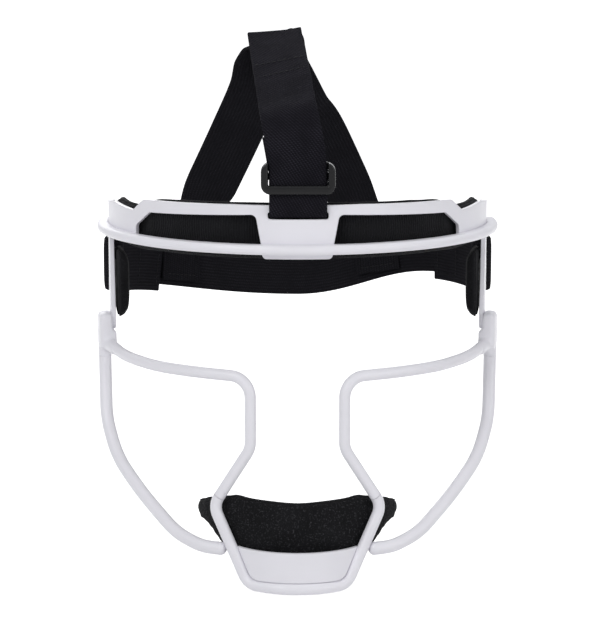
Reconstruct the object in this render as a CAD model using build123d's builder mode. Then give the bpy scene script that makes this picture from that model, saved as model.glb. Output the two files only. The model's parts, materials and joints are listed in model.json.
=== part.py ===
from build123d import *
import math
import os

# A softball fielder's face guard: a welded and coated steel cage, hook-and-loop pads and
# elastic head straps. Lengths are in millimetres, with +Z up, -Y to the front of the face
# and the wearer's left on +X. The origin is on the upright axis of the head, level with
# the middle of the brow bar.
os.makedirs("parts", exist_ok=True)

# Overruns and running gaps
cut_overrun = 12.0
weld_gap = 0.15
soft_gap = 0.3

# Ring that the brow sheet is rolled to, and its sheet
ring_radius = 89.2
sheet = 2.0
plate_top = 19.2
plate_corner_top = 18.0
plate_bottom = -2.2
plate_back = 12.0
level_top_arc = 29.0
step_top_arc = 79.5
step_foot_arc = 88.6
step_foot_top = 12.3
side_top = 13.8
side_top_arc = 112.0
side_back_top = 10.0
step_fillet = 2.5
plate_corner_fillet = 5.0

# Windows through the brow sheet, as arcs from the centre and heights
window_inner_arc = 16.0
window_inner_top_arc = 18.6
window_outer_arc = 85.5
window_outer_top_arc = 75.0
window_bottom = 1.2
window_top = 15.0
window_end_top = 12.6
window_side_top = 5.9
window_fillet = 2.4

# Lip below the brow bar
lip_arc = 15.6
lip_drop = 2.3
lip_fillet = 2.0

# Brow bar, a rolled oval bar welded to the outside of the sheet
bar_height = 4.4
bar_depth = 5.2
bar_round = 2.1
bar_flat_round = 0.5
bar_back = 7.5
bar_end_round = 1.2

# Side arms, in one with the brow sheet
arm_bottom = -47.5
arm_front = 16.0
arm_foot_front = 21.0
arm_foot_back = 3.5
arm_bend_height = -35.5
arm_fillet = 4.0

# Webbing and the slots that it passes through
web_width = 25.4
web = 1.5
slot_clearance = 1.2
brow_slot_bottom = 13.1
brow_slot_height = 3.2
arm_slot_width = 5.0
arm_slot_middle = 6.0
fold_middle_height = -20.5

# Round bars of the cage
cheek_bar_diameter = 5.2
jaw_bar_diameter = 6.0

# Brackets that join the arms to the bars
bracket_top = -39.5
bracket_bottom = -60.0
bracket_depth = 5.8
bracket_front = 23.0
bracket_back = 10.5
bracket_round = 2.2

# Cheek bars, by the places of their bends
cheek_ring_radius = 90.2
cheek_start_height = -54.0
cheek_level_height = -56.8
cheek_corner_height = -57.4
cheek_side = 20.9
cheek_run_foot_height = -89.5
seam_run = 4.9
bar_seat = 0.36
cheek_front = 87.7
cheek_corner_radius = 9.5
cheek_knee_radius = 11.0

# Chin loop and the plate in it
chin_axis_front = 67.0
chin_radius = 34.0
chin_bottom = -150.4
chin_corner_turn = 40.5
chin_corner_radius = 8.0
chin_knee = (37.6, 83.2, -116.4)
chin_knee_radius = 8.0
chin_sheet = 1.6
chin_plate_top = -134.0
chin_plate_inset = 2.8
chin_plate_fillet = 5.0

# Jaw bars, by the sides, fronts and heights of their bends
jaw_neck = 5.0
jaw_foot_gap = 0.9
jaw_end_round = 2.5
jaw_shoulder = (90.0, 20.0, -74.0)
jaw_bend = (89.4, 25.5, -88.5)
jaw_turn = (83.8, 38.5, -104.0)
jaw_corner = (71.4, 55.0, -117.5)
jaw_sweep = (55.0, 73.0, -131.6)
jaw_foot = (43.0, 82.5, -135.6)

# Pads
pad_middle_seat = 3.0
pad_side_seat = 1.2
pad_middle_arc = 16.0
pad_window_arc = 26.0
brow_pad_thickness = 8.5
brow_pad_crown = 1.6
brow_pad_top = 20.2
brow_pad_side_top = 14.4
brow_pad_bottom = -5.8
brow_pad_side_bottom = -6.9
brow_pad_step_arc = 84.0
brow_pad_step_run = 6.0
brow_pad_end_arc = 140.0
brow_pad_end_run = 6.0
cover = 0.8
temple_pad_seat = 1.0
temple_pad_thickness = 5.6
temple_pad_front = 25.0
temple_pad_back = 1.0
temple_pad_top = -8.2
temple_pad_bottom = -43.6
temple_pad_crown = 1.1
chin_pad_axis_front = 46.0
chin_pad_radius = 48.7
chin_pad_thickness = 8.5
chin_pad_crown = 1.4
chin_pad_top = -113.0
chin_pad_bottom = -146.5
chin_pad_shoulder_top = -111.6
chin_pad_shoulder_bottom = -142.1
chin_pad_wing_top = -114.8
chin_pad_wing_bottom = -130.2
chin_pad_wing_draw = 1.0
chin_pad_tip_top = -119.4
chin_pad_tip_bottom = -125.6
chin_pad_shoulder_turn = 38.0
chin_pad_tip_turn = 76.0
hook_thickness = 1.4
brow_hook_length = 34.0
brow_hook_height = 9.0
brow_hook_middle = 4.0
brow_hook_arc = 108.0
temple_hook_width = 12.0
temple_hook_height = 22.0
chin_hook_width = 24.0
chin_hook_height = 8.0
chin_hook_middle = -140.5

# Top strap, slider and crown
strap_middle = 0.3
strap_seat = 0.2
strap_fold_rise = 0.5
strap_jog_low = 20.0
strap_jog_high = 23.0
strap_tail_top = 51.0
strap_lean = 13.0
strap_lean_height = 41.0
strap_bend_height = 54.5
strap_shoulder_inset = 29.2
strap_shoulder_height = 66.5
strap_rise_inset = 61.2
strap_rise_height = 78.5
strap_bend_radius = 18.0
strap_crown_radius = 70.0
hem_back = 8.0
hem_top = 90.8
hem_length = 55.0
hem_fold_gap = 0.4
slider_rail = 3.0
slider_height = 13.9
slider_middle_height = 31.4
slider_low_bar = 3.7
slider_middle_bar = 2.4
slider_top_bar = 2.9
slider_bar_thickness = 1.8
slider_side_clearance = 0.5
slider_web_clearance = 0.3
slider_round = 4.2
slider_bar_round = 0.8

# Rear strap, on an ellipse about the head's axis
rear_side_clearance = 3.4
rear_back_clearance = 19.8
rear_drop = 18.0
rear_left_droop_share = 8.0
rear_right_droop_share = 2.3
rear_start = 17.0
tab_end_back = 70.0
tab_start_back = 12.0
tab_settle_back = 34.0
tab_gap = 1.1
tab_drop = 3.3
tab_hook = 0.75
tab_hook_length = 22.0
tab_hook_margin = 2.7
fold_depth = 7.6

# Crown straps: side, back and height of each bend of their middle lines
crown_lap = 52.0
crown_lead = 3.0
right_crown_bends = [
    (-14.4, 16.0, 85.2),
    (-17.8, 27.5, 76.0),
    (-20.5, 36.0, 60.5),
    (-30.1, 51.0, 38.0),
    (-47.4, 73.0, 1.0),
]
left_crown_bends = [
    (-9.4, 12.0, 79.0),
    (-5.8, 22.0, 70.2),
    (3.0, 42.0, 51.0),
    (11.5, 58.0, 37.4),
    (28.8, 85.0, -0.7),
]
right_crown_foot = (-57.5, -59.5)
left_crown_foot = (38.5, 41.5)
foot_top_height = -20.0
foot_gap = 2.7
crown_twist = 60.0
foot_twist_lead = 62.0
foot_twist = 28.0
foot_bottom_inset = 3.0
head_height = 106.0


def head_ring(turn, radius):
    """Side and back of the point of a head-centred ring at a turn from the front."""
    return radius * math.sin(turn), -radius * math.cos(turn)


def radial_plane(turn, axis_front=0.0):
    """Upright plane through an upright axis, its x running outwards at a turn."""
    outwards = (math.sin(turn), -math.cos(turn), 0)
    facing = (-math.cos(turn), -math.sin(turn), 0)
    return Plane(origin=(0, -axis_front, 0), x_dir=outwards, z_dir=facing)


def tangent_plane(turn, radius, axis_front=0.0):
    """Upright plane that touches a ring at a turn, its x along the ring."""
    side, back = head_ring(turn, radius)
    outwards = (math.sin(turn), -math.cos(turn), 0)
    along = (math.cos(turn), math.sin(turn), 0)
    return Plane(origin=(side, back - axis_front, 0), x_dir=along, z_dir=outwards)


def flat_point(arc, height, middle_turn, radius):
    """Place in a tangent plane of the ring point at an arc length and height."""
    return radius * math.sin(arc / radius - middle_turn), height


def bend_radii(points, share=0.45):
    """Largest arcs that fit the runs on both sides of each bend."""
    radii = []
    for index in range(1, len(points) - 1):
        run_in = Vector(*points[index]) - Vector(*points[index - 1])
        run_out = Vector(*points[index + 1]) - Vector(*points[index])
        turn = math.radians(run_in.get_angle(run_out))
        radii.append(share * min(run_in.length, run_out.length) / math.tan(turn / 2))
    return radii


def round_bar(points, diameter, radii):
    """A round bar bent through points, each bend an arc."""
    with BuildPart() as bar:
        with BuildLine() as route:
            FilletPolyline(*points, radius=radii)
        start = Plane(origin=route.line @ 0, z_dir=route.line % 0)
        with BuildSketch(start):
            Circle(diameter / 2)
        sweep()
    return bar.part


def mirrored(points, side):
    """The same points on the side of the sign given."""
    return [(side * x, y, z) for x, y, z in points]


def webbing(stations, width, thickness):
    """A strap as a loft through flat sections: place, way it runs, way of its width."""
    with BuildPart() as strap:
        for place, run, across in stations:
            with BuildSketch(Plane(origin=place, x_dir=across, z_dir=run)):
                Rectangle(width, thickness)
        loft(ruled=True)
    return strap.part


def pad_loft(cuts, axis_front=0.0):
    """A pad lofted through radial cuts: turn, inner, outer, bottom, top, crown.

    Each cut has a flat back, a crowned face and a rounded top and bottom.
    """
    with BuildPart() as pad:
        for turn, inner, outer, bottom, top, crown in cuts:
            draw = min((outer - inner) / 3, (top - bottom) / 6)
            face_edge = inner + draw / 2
            middle = (inner + outer) / 2
            with BuildSketch(radial_plane(turn, axis_front)):
                with BuildLine():
                    Line((outer, bottom + draw), (outer, top - draw))
                    ThreePointArc((outer, top - draw), (middle, top), (face_edge, top - draw))
                    ThreePointArc(
                        (face_edge, top - draw),
                        (inner - crown, (bottom + top) / 2),
                        (face_edge, bottom + draw),
                    )
                    ThreePointArc((face_edge, bottom + draw), (middle, bottom), (outer, bottom + draw))
                make_face()
        loft()
    return pad.part


def shrink_cuts(cuts, wall, radius):
    """The cuts of the foam inside a cover of the wall given."""
    inside = []
    last = len(cuts) - 1
    for index, (turn, inner, outer, bottom, top, crown) in enumerate(cuts):
        turn_in = wall / radius if index == 0 else -wall / radius if index == last else 0
        inside.append((turn + turn_in, inner + wall, outer - wall, bottom + wall, top - wall, crown))
    return inside


# Brow sheet with its two side arms
half_plate = math.pi / 2 + math.asin(plate_back / ring_radius)
half_bar = math.pi / 2 + math.asin(bar_back / ring_radius)
sheet_middle = ring_radius - sheet / 2
side_turn = math.radians(75)
arm_turn = math.radians(88)
arm_front_turn = math.pi / 2 - math.asin(arm_foot_front / ring_radius)
plate_height = plate_top - plate_bottom
arm_height = plate_bottom - arm_bottom
web_slot = web_width + slot_clearance


def arm_run(front):
    """Run along the plane of an arm to the point this far to the front."""
    turn = math.pi / 2 - math.asin(front / ring_radius)
    return ring_radius * math.sin(turn - arm_turn)


with BuildPart() as brow_plate:
    with BuildSketch(radial_plane(-half_plate)):
        with Locations((sheet_middle, plate_bottom)):
            Rectangle(sheet, plate_height, align=(Align.CENTER, Align.MIN))
    revolve(axis=Axis.Z, revolution_arc=math.degrees(2 * half_plate))
    # Arms, as a band at each temple
    for first_turn in (arm_front_turn, -half_plate):
        with BuildSketch(radial_plane(first_turn)):
            with Locations((sheet_middle, plate_bottom)):
                Rectangle(sheet, arm_height, align=(Align.CENTER, Align.MAX))
        revolve(axis=Axis.Z, revolution_arc=math.degrees(half_plate - arm_front_turn))
    # Lip under the bar
    with BuildSketch(radial_plane(-lip_arc / ring_radius)):
        with Locations((sheet_middle, plate_bottom)):
            Rectangle(sheet, lip_drop, align=(Align.CENTER, Align.MAX))
    revolve(axis=Axis.Z, revolution_arc=math.degrees(2 * lip_arc / ring_radius))
    lip_corners = brow_plate.edges().filter_by(Axis.Z, reverse=True)
    lip_corners = lip_corners.filter_by_position(Axis.Z, plate_bottom - lip_drop, plate_bottom - lip_drop)
    lip_corners = lip_corners.filter_by(GeomType.LINE).filter_by_position(Axis.X, -lip_arc, lip_arc)
    fillet(lip_corners, radius=lip_fillet)
    for side in (1, -1):
        # Sloping top edge and the step down to the low side
        slope_turn = side * (level_top_arc + step_top_arc) / 2 / ring_radius
        with BuildSketch(tangent_plane(slope_turn, ring_radius)):
            slope = [
                (level_top_arc, plate_top),
                (step_top_arc, plate_corner_top),
                (step_top_arc, plate_top + cut_overrun),
                (level_top_arc, plate_top + cut_overrun),
            ]
            with BuildLine():
                Polyline(*[flat_point(side * a, h, slope_turn, ring_radius) for a, h in slope], close=True)
            make_face()
        extrude(amount=cut_overrun, both=True, mode=Mode.SUBTRACT)
        with BuildSketch(tangent_plane(side * side_turn, ring_radius)):
            back_arc = ring_radius * half_plate
            low = [
                (step_top_arc, plate_corner_top),
                (step_foot_arc, step_foot_top),
                (side_top_arc, side_top),
                (back_arc, side_back_top),
            ]
            points = [flat_point(side * a, h, side * side_turn, ring_radius) for a, h in low]
            last_x, last_y = points[-1]
            points.append((last_x + side * cut_overrun, last_y))
            points.append((last_x + side * cut_overrun, plate_top + cut_overrun))
            points.append((points[0][0], plate_top + cut_overrun))
            with BuildLine():
                FilletPolyline(*points, radius=[0, step_fillet, step_fillet, 0, 0, 0, 0], close=True)
            make_face()
        extrude(amount=cut_overrun * 2, both=True, mode=Mode.SUBTRACT)
        # Window
        window_turn = side * (window_inner_arc + window_outer_arc) / 2 / ring_radius
        with BuildSketch(tangent_plane(window_turn, ring_radius)):
            outline = [
                (window_inner_arc, window_bottom),
                (window_inner_top_arc, window_top),
                (window_outer_top_arc, window_end_top),
                (window_outer_arc, window_side_top),
                (window_outer_arc, window_bottom),
            ]
            with BuildLine():
                FilletPolyline(
                    *[flat_point(side * a, h, window_turn, ring_radius) for a, h in outline],
                    radius=[0, window_fillet, window_fillet, window_fillet, 0],
                    close=True,
                )
            make_face()
        extrude(amount=cut_overrun, both=True, mode=Mode.SUBTRACT)
        # Outline of the arm
        with BuildSketch(tangent_plane(side * arm_turn, ring_radius)):
            reach = abs(arm_run(-plate_back)) + cut_overrun
            arm_outline = [
                (side * arm_run(arm_front), plate_bottom + weld_gap),
                (side * arm_run(arm_foot_front), arm_bottom),
                (side * arm_run(-arm_foot_back), arm_bottom),
                (side * arm_run(-plate_back), arm_bend_height),
                (side * arm_run(-plate_back), plate_bottom + weld_gap),
            ]
            with Locations((0, plate_bottom)):
                Rectangle(2 * reach, arm_height + cut_overrun, align=(Align.CENTER, Align.MAX))
            with BuildLine():
                FilletPolyline(*arm_outline, radius=[0, arm_fillet, arm_fillet, arm_fillet, 0], close=True)
            make_face(mode=Mode.SUBTRACT)
        extrude(amount=cut_overrun, both=True, mode=Mode.SUBTRACT)
        # Slot in the arm for the rear strap
        slot_turn = side * (math.pi / 2 + math.asin(arm_slot_middle / ring_radius))
        with BuildSketch(tangent_plane(slot_turn, ring_radius)):
            with Locations((0, fold_middle_height)):
                RectangleRounded(arm_slot_width, web_slot, arm_slot_width / 6)
        extrude(amount=cut_overrun / 2, both=True, mode=Mode.SUBTRACT)
    # Slot for the top strap
    with BuildSketch(tangent_plane(0, ring_radius)):
        with Locations((strap_middle, brow_slot_bottom + brow_slot_height / 2)):
            RectangleRounded(web_slot, brow_slot_height, brow_slot_height / 3)
    extrude(amount=cut_overrun, both=True, mode=Mode.SUBTRACT)
    # Rounded top corners at the back of the sides
    back_ends = brow_plate.faces().filter_by(GeomType.PLANE).group_by(Axis.Y)[-1]
    fillet(back_ends.edges().group_by(Axis.Z)[-1], radius=plate_corner_fillet)
brow_plate.part.label = "brow_plate"
export_step(brow_plate.part, "parts/brow_plate.step")

# Brow bar
with BuildPart() as brow_bar:
    with BuildSketch(radial_plane(-half_bar)) as bar_cut:
        with Locations((ring_radius, 0)):
            Rectangle(bar_depth, bar_height, align=(Align.MIN, Align.CENTER))
        fillet(bar_cut.vertices().group_by(Axis.X)[-1], radius=bar_round)
        fillet(bar_cut.vertices().group_by(Axis.X)[0], radius=bar_flat_round)
    revolve(axis=Axis.Z, revolution_arc=math.degrees(2 * half_bar))
    bar_ends = brow_bar.faces().sort_by(Axis.Y)[-2:]
    end_edges = bar_ends.edges().group_by(Axis.X)
    fillet(end_edges[0] + end_edges[-1], radius=bar_end_round)
brow_bar.part.label = "brow_bar"
export_step(brow_bar.part, "parts/brow_bar.step")

# Brackets at the foot of the arms, each a curved block with a seat for its arm
bracket_front_turn = math.pi / 2 - math.asin(bracket_front / ring_radius)
bracket_back_turn = math.pi / 2 - math.asin(bracket_back / ring_radius)
bracket_arc = math.degrees(bracket_back_turn - bracket_front_turn)
seat_height = arm_bottom - weld_gap
for side, name in ((1, "left"), (-1, "right")):
    first_turn = bracket_front_turn if side == 1 else -bracket_back_turn
    with BuildPart() as bracket:
        with BuildSketch(radial_plane(first_turn)):
            with BuildLine():
                Polyline(
                    (ring_radius, bracket_top),
                    (ring_radius + bracket_depth, bracket_top),
                    (ring_radius + bracket_depth, bracket_bottom),
                    (ring_radius - sheet, bracket_bottom),
                    (ring_radius - sheet, seat_height),
                    (ring_radius, seat_height),
                    close=True,
                )
            make_face()
        revolve(axis=Axis.Z, revolution_arc=bracket_arc)
        uprights = bracket.edges().filter_by(Axis.Z).sort_by(SortBy.LENGTH)[-2:]
        fillet(uprights, radius=bracket_round)
        top_edges = bracket.faces().sort_by(Axis.Z)[-1].edges().sort_by(Axis.X)
        fillet(top_edges[-1 if side == 1 else 0], radius=bracket_round)
    bracket.part.label = f"{name}_bracket"
    export_step(bracket.part, f"parts/{name}_bracket.step")


def cheek_place(turn, height):
    """Bend of the level run, on a ring a little outside the bar's own arc."""
    side, back = head_ring(turn, cheek_ring_radius)
    return side, back, height


# Cheek bars, from the front of a bracket to the seam with the chin loop
cheek_foot = Vector(cheek_side, -cheek_front, cheek_run_foot_height)
knee = Vector(chin_knee[0], -chin_knee[1], chin_knee[2])
seam_way = (cheek_foot - knee).normalized()
cheek_end = knee + seam_way * (seam_run + weld_gap)
chin_start = knee + seam_way * seam_run
cheek_points = [
    cheek_place(bracket_front_turn - bar_seat / ring_radius, cheek_start_height),
    cheek_place(math.radians(61.5), (cheek_start_height + 2 * cheek_level_height) / 3),
    cheek_place(math.radians(45.5), cheek_level_height),
    cheek_place(math.radians(30.5), cheek_level_height),
    (cheek_side, -cheek_front, cheek_corner_height),
    (cheek_side, -cheek_front, cheek_run_foot_height),
    (cheek_end.X, cheek_end.Y, cheek_end.Z),
]
cheek_radii = bend_radii(cheek_points)
cheek_radii[3] = cheek_corner_radius
cheek_radii[4] = cheek_knee_radius

# Jaw bars, from the foot of a bracket to the chin loop
jaw_start_turn = (bracket_front_turn + bracket_back_turn) / 2
jaw_ring = ring_radius + bracket_depth - jaw_bar_diameter / 2
jaw_side, jaw_back = head_ring(jaw_start_turn, jaw_ring)


def chin_place(turn, height, radius):
    """Point of the ring about the chin's own upright axis."""
    side, back = head_ring(turn, radius)
    return side, back - chin_axis_front, height


# Chin loop: half of its bends, from the seam to the middle
chin_corner = math.radians(chin_corner_turn)
chin_bow = chin_radius / math.cos(chin_corner / 3)
chin_half = [
    (chin_start.X, chin_start.Y, chin_start.Z),
    (knee.X, knee.Y, knee.Z),
    chin_place(chin_corner, chin_bottom, chin_radius),
    chin_place(chin_corner / 3, chin_bottom, chin_bow),
]
chin_points = chin_half + [(-x, y, z) for x, y, z in reversed(chin_half)]
chin_radii = bend_radii(chin_points)
chin_radii[0] = chin_radii[-1] = chin_knee_radius
chin_radii[1] = chin_radii[-2] = chin_corner_radius
chin_loop = round_bar(chin_points, cheek_bar_diameter, chin_radii)
chin_loop.label = "chin_bar"
export_step(chin_loop, "parts/chin_bar.step")

# A jaw bar stops where its rounded end meets the chin loop
corner = Vector(*chin_half[2])
meet_share = (jaw_foot[2] - knee.Z) / (corner.Z - knee.Z)
meet = knee + (corner - knee) * meet_share
foot = Vector(jaw_foot[0], -jaw_foot[1], jaw_foot[2])
meet_way = (meet - foot).normalized()
jaw_end = meet - meet_way * (cheek_bar_diameter / 2 + jaw_foot_gap)
jaw_bends = [jaw_shoulder, jaw_bend, jaw_turn, jaw_corner, jaw_sweep, jaw_foot]
jaw_points = [
    (jaw_side, jaw_back, bracket_bottom - weld_gap),
    (jaw_side, jaw_back, bracket_bottom - jaw_neck),
]
jaw_points += [(x, -front, z) for x, front, z in jaw_bends]
jaw_points.append((jaw_end.X, jaw_end.Y, jaw_end.Z))
jaw_radii = bend_radii(jaw_points)

for side, name in ((1, "left"), (-1, "right")):
    cheek_bar = round_bar(mirrored(cheek_points, side), cheek_bar_diameter, cheek_radii)
    cheek_bar.label = f"{name}_cheek_bar"
    export_step(cheek_bar, f"parts/{name}_cheek_bar.step")
    with BuildPart() as jaw_bar:
        add(round_bar(mirrored(jaw_points, side), jaw_bar_diameter, jaw_radii))
        end_face = jaw_bar.faces().filter_by(GeomType.PLANE).sort_by(Axis.Z)[0]
        fillet(end_face.edges(), radius=jaw_end_round)
    jaw_bar.part.label = f"{name}_jaw_bar"
    export_step(jaw_bar.part, f"parts/{name}_jaw_bar.step")

# Chin plate, rolled about the chin's own axis and welded inside the loop
loop_slope = (knee.X - corner.X) / (knee.Z - corner.Z)
chin_plate_foot = chin_bottom + cheek_bar_diameter / 2 + weld_gap
chin_plate_top_half = corner.X + loop_slope * (chin_plate_top - corner.Z) - chin_plate_inset
chin_plate_foot_half = corner.X + loop_slope * (chin_plate_foot - corner.Z) - chin_plate_inset
plate_reach = math.asin(chin_plate_top_half / chin_radius)
with BuildPart() as chin_plate:
    with BuildSketch(radial_plane(-plate_reach, chin_axis_front)):
        with Locations((chin_radius, chin_bottom)):
            Rectangle(chin_sheet, chin_plate_top - chin_bottom, align=(Align.CENTER, Align.MIN))
    revolve(axis=Axis((0, -chin_axis_front, 0), (0, 0, 1)), revolution_arc=math.degrees(2 * plate_reach))
    with BuildSketch(Plane.XZ.offset(chin_axis_front)):
        with BuildLine():
            FilletPolyline(
                (-chin_plate_top_half, chin_plate_top),
                (chin_plate_top_half, chin_plate_top),
                (chin_plate_foot_half, chin_plate_foot),
                (-chin_plate_foot_half, chin_plate_foot),
                radius=[0, 0, chin_plate_fillet, chin_plate_fillet],
                close=True,
            )
        make_face()
    extrude(amount=2 * chin_radius, mode=Mode.INTERSECT)
chin_plate.part.label = "chin_plate"
export_step(chin_plate.part, "parts/chin_plate.step")

# Brow pad, a foam core in a sewn cover
middle_out = ring_radius - sheet - pad_middle_seat
side_out = ring_radius - sheet - pad_side_seat
thin = brow_pad_thickness / 3
window_mid_arc = (pad_window_arc + brow_pad_step_arc - brow_pad_step_run) / 2
side_mid_arc = (brow_pad_step_arc + brow_pad_end_arc) / 2
brow_half = [
    (0, middle_out, 0, brow_pad_bottom, brow_pad_top),
    (pad_middle_arc, middle_out, 0, brow_pad_bottom, brow_pad_top),
    (pad_window_arc, side_out, 0, brow_pad_bottom, brow_pad_top),
    (window_mid_arc, side_out, 0, brow_pad_bottom, brow_pad_top),
    (brow_pad_step_arc - brow_pad_step_run, side_out, 0, brow_pad_bottom, brow_pad_top - brow_pad_crown),
    (brow_pad_step_arc + brow_pad_step_run, side_out, 0, brow_pad_side_bottom, brow_pad_side_top),
    (side_mid_arc, side_out, 0, brow_pad_side_bottom, brow_pad_side_top),
    (brow_pad_end_arc - brow_pad_end_run, side_out, 0, brow_pad_side_bottom, brow_pad_side_top),
    (brow_pad_end_arc, side_out, thin, brow_pad_side_bottom + thin, brow_pad_side_top - thin),
]
brow_cuts = [
    (
        side * arc / ring_radius,
        outer - brow_pad_thickness + drawn,
        outer,
        bottom,
        top,
        brow_pad_crown,
    )
    for side, half in ((-1, reversed(brow_half)), (1, brow_half[1:]))
    for arc, outer, drawn, bottom, top in half
]

# Temple pads hang below its ends, inside the arms
temple_front_turn = math.pi / 2 - math.asin(temple_pad_front / ring_radius)
temple_back_turn = math.pi / 2 - math.asin(temple_pad_back / ring_radius)
temple_out = ring_radius - sheet - temple_pad_seat
temple_in = temple_out - temple_pad_thickness
temple_thin = temple_pad_thickness / 3
temple_span = temple_back_turn - temple_front_turn
temple_share = ((0, 1), (0.22, 0), (0.5, 0), (0.78, 0), (1, 1))
temple_cuts = [
    (
        temple_front_turn + share * temple_span,
        temple_in + drawn * temple_thin,
        temple_out,
        temple_pad_bottom + drawn * 2 * temple_thin,
        temple_pad_top - drawn * temple_thin,
        temple_pad_crown,
    )
    for share, drawn in temple_share
]

# Chin pad, a cup with two wings
shoulder = math.radians(chin_pad_shoulder_turn)
tip = math.radians(chin_pad_tip_turn)
wing = (shoulder + tip) / 2
chin_in = chin_pad_radius - chin_pad_thickness
chin_middle_top = (chin_pad_top + chin_pad_shoulder_top) / 2
chin_half_cuts = [
    (0, chin_in, chin_pad_bottom, chin_pad_top, chin_pad_crown),
    (shoulder / 2, chin_in, chin_pad_bottom, chin_middle_top, chin_pad_crown),
    (shoulder, chin_in, chin_pad_shoulder_bottom, chin_pad_shoulder_top, chin_pad_crown),
    (wing, chin_in + chin_pad_wing_draw, chin_pad_wing_bottom, chin_pad_wing_top, chin_pad_crown),
    (tip, chin_in + chin_pad_thickness / 3, chin_pad_tip_bottom, chin_pad_tip_top, chin_pad_crown / 4),
]
chin_cuts = [
    (side * turn, inner, chin_pad_radius, bottom, top, crown)
    for side, half in ((-1, reversed(chin_half_cuts)), (1, chin_half_cuts[1:]))
    for turn, inner, bottom, top, crown in half
]

pads = [
    ("brow_pad", brow_cuts, 0.0, side_out),
    ("left_temple_pad", temple_cuts, 0.0, temple_out),
    ("right_temple_pad", [(-c[0],) + c[1:] for c in reversed(temple_cuts)], 0.0, temple_out),
    ("chin_pad", chin_cuts, chin_pad_axis_front, chin_pad_radius),
]
for name, cuts, axis_front, radius in pads:
    foam = pad_loft(shrink_cuts(cuts, cover, radius), axis_front)
    skin = pad_loft(cuts, axis_front)
    with BuildPart() as pad_cover:
        add(skin)
        add(foam, mode=Mode.SUBTRACT)
    foam.label = f"{name}_foam"
    export_step(foam, f"parts/{name}_foam.step")
    pad_cover.part.label = f"{name}_cover"
    export_step(pad_cover.part, f"parts/{name}_cover.step")

# Hook patches between the pads and the steel
hook_out = ring_radius - sheet - soft_gap
brow_hook_in = side_out + soft_gap
temple_hook_in = temple_out + soft_gap


def hook_patch(turn, height, length, width, inner, outer, axis_front=0.0):
    """A curved patch of hook tape about a turn and a height."""
    half = length / outer / 2
    with BuildPart() as patch:
        with BuildSketch(radial_plane(turn - half, axis_front)):
            with Locations(((inner + outer) / 2, height)):
                Rectangle(outer - inner, width)
        axis = Axis((0, -axis_front, 0), (0, 0, 1))
        revolve(axis=axis, revolution_arc=math.degrees(2 * half))
    return patch.part


with BuildPart() as brow_hooks:
    for side in (1, -1):
        hook_turn = side * brow_hook_arc / ring_radius
        add(
            hook_patch(
                hook_turn, brow_hook_middle, brow_hook_length, brow_hook_height, brow_hook_in, hook_out
            )
        )
brow_hooks.part.label = "brow_hooks"
export_step(brow_hooks.part, "parts/brow_hooks.step")

temple_middle = (temple_pad_top + temple_pad_bottom) / 2
for side, name in ((1, "left"), (-1, "right")):
    turn = side * (temple_front_turn + temple_back_turn) / 2
    temple_hooks = hook_patch(
        turn, temple_middle, temple_hook_width, temple_hook_height, temple_hook_in, hook_out
    )
    temple_hooks.label = f"{name}_temple_hooks"
    export_step(temple_hooks, f"parts/{name}_temple_hooks.step")

chin_hook_out = chin_radius - chin_sheet / 2 - soft_gap
chin_hook_turn = math.asin(chin_hook_width / 2 / chin_radius)
with BuildPart() as chin_hooks:
    with BuildSketch(radial_plane(-chin_hook_turn, chin_axis_front)):
        with Locations((chin_hook_out, chin_hook_middle)):
            Rectangle(hook_thickness, chin_hook_height, align=(Align.MAX, Align.CENTER))
    revolve(axis=Axis((0, -chin_axis_front, 0), (0, 0, 1)), revolution_arc=math.degrees(2 * chin_hook_turn))
chin_hooks.part.label = "chin_hooks"
export_step(chin_hooks.part, "parts/chin_hooks.step")

# Top strap: down the front, through the brow slot and up again behind as a loose tail, and
# from the lean upwards back over the crown to a flat sewn loop for the crown strap
slot_half = web_width / 2
ring_sagitta = ring_radius - math.sqrt(ring_radius**2 - slot_half**2)
front_layer = ring_radius + strap_seat + web / 2
back_layer = ring_radius - sheet - ring_sagitta - strap_seat - web / 2
slider_layer = front_layer - slider_bar_thickness - 2 * slider_web_clearance - web
fold_middle = (front_layer + back_layer) / 2
fold_height = brow_slot_bottom + brow_slot_height + strap_fold_rise
lean = math.radians(strap_lean)
lean_plane = Plane(
    origin=(strap_middle, 0, strap_lean_height),
    x_dir=(0, 1, 0),
    z_dir=(math.cos(lean), 0, math.sin(lean)),
)
lean_lap = web_width / 2 * math.tan(lean)
strap_shoulder = (ring_radius - strap_shoulder_inset, strap_shoulder_height)
strap_rise = (ring_radius - strap_rise_inset, strap_rise_height)
hem_way = Vector(hem_back + strap_rise[0], hem_top - strap_rise[1]).normalized()
hem_under = Vector(hem_way.Y, -hem_way.X)
hem_end = Vector(hem_back, hem_top - strap_lean_height)


hem_reach = Vector(hem_back + strap_rise[0], hem_top - strap_rise[1]).length
rise_way = Vector(strap_shoulder[0] - strap_rise[0], strap_rise[1] - strap_shoulder[1]).normalized()


def hem_point(run, layer):
    """Point of the sewn stack in the leaning plane: run back from its fold, layers down."""
    past = max(0, run - hem_reach)
    spot = hem_end - hem_way * (run - past) - rise_way * past
    spot += hem_under * (layer * (web + hem_fold_gap))
    return spot.X, spot.Y


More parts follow.
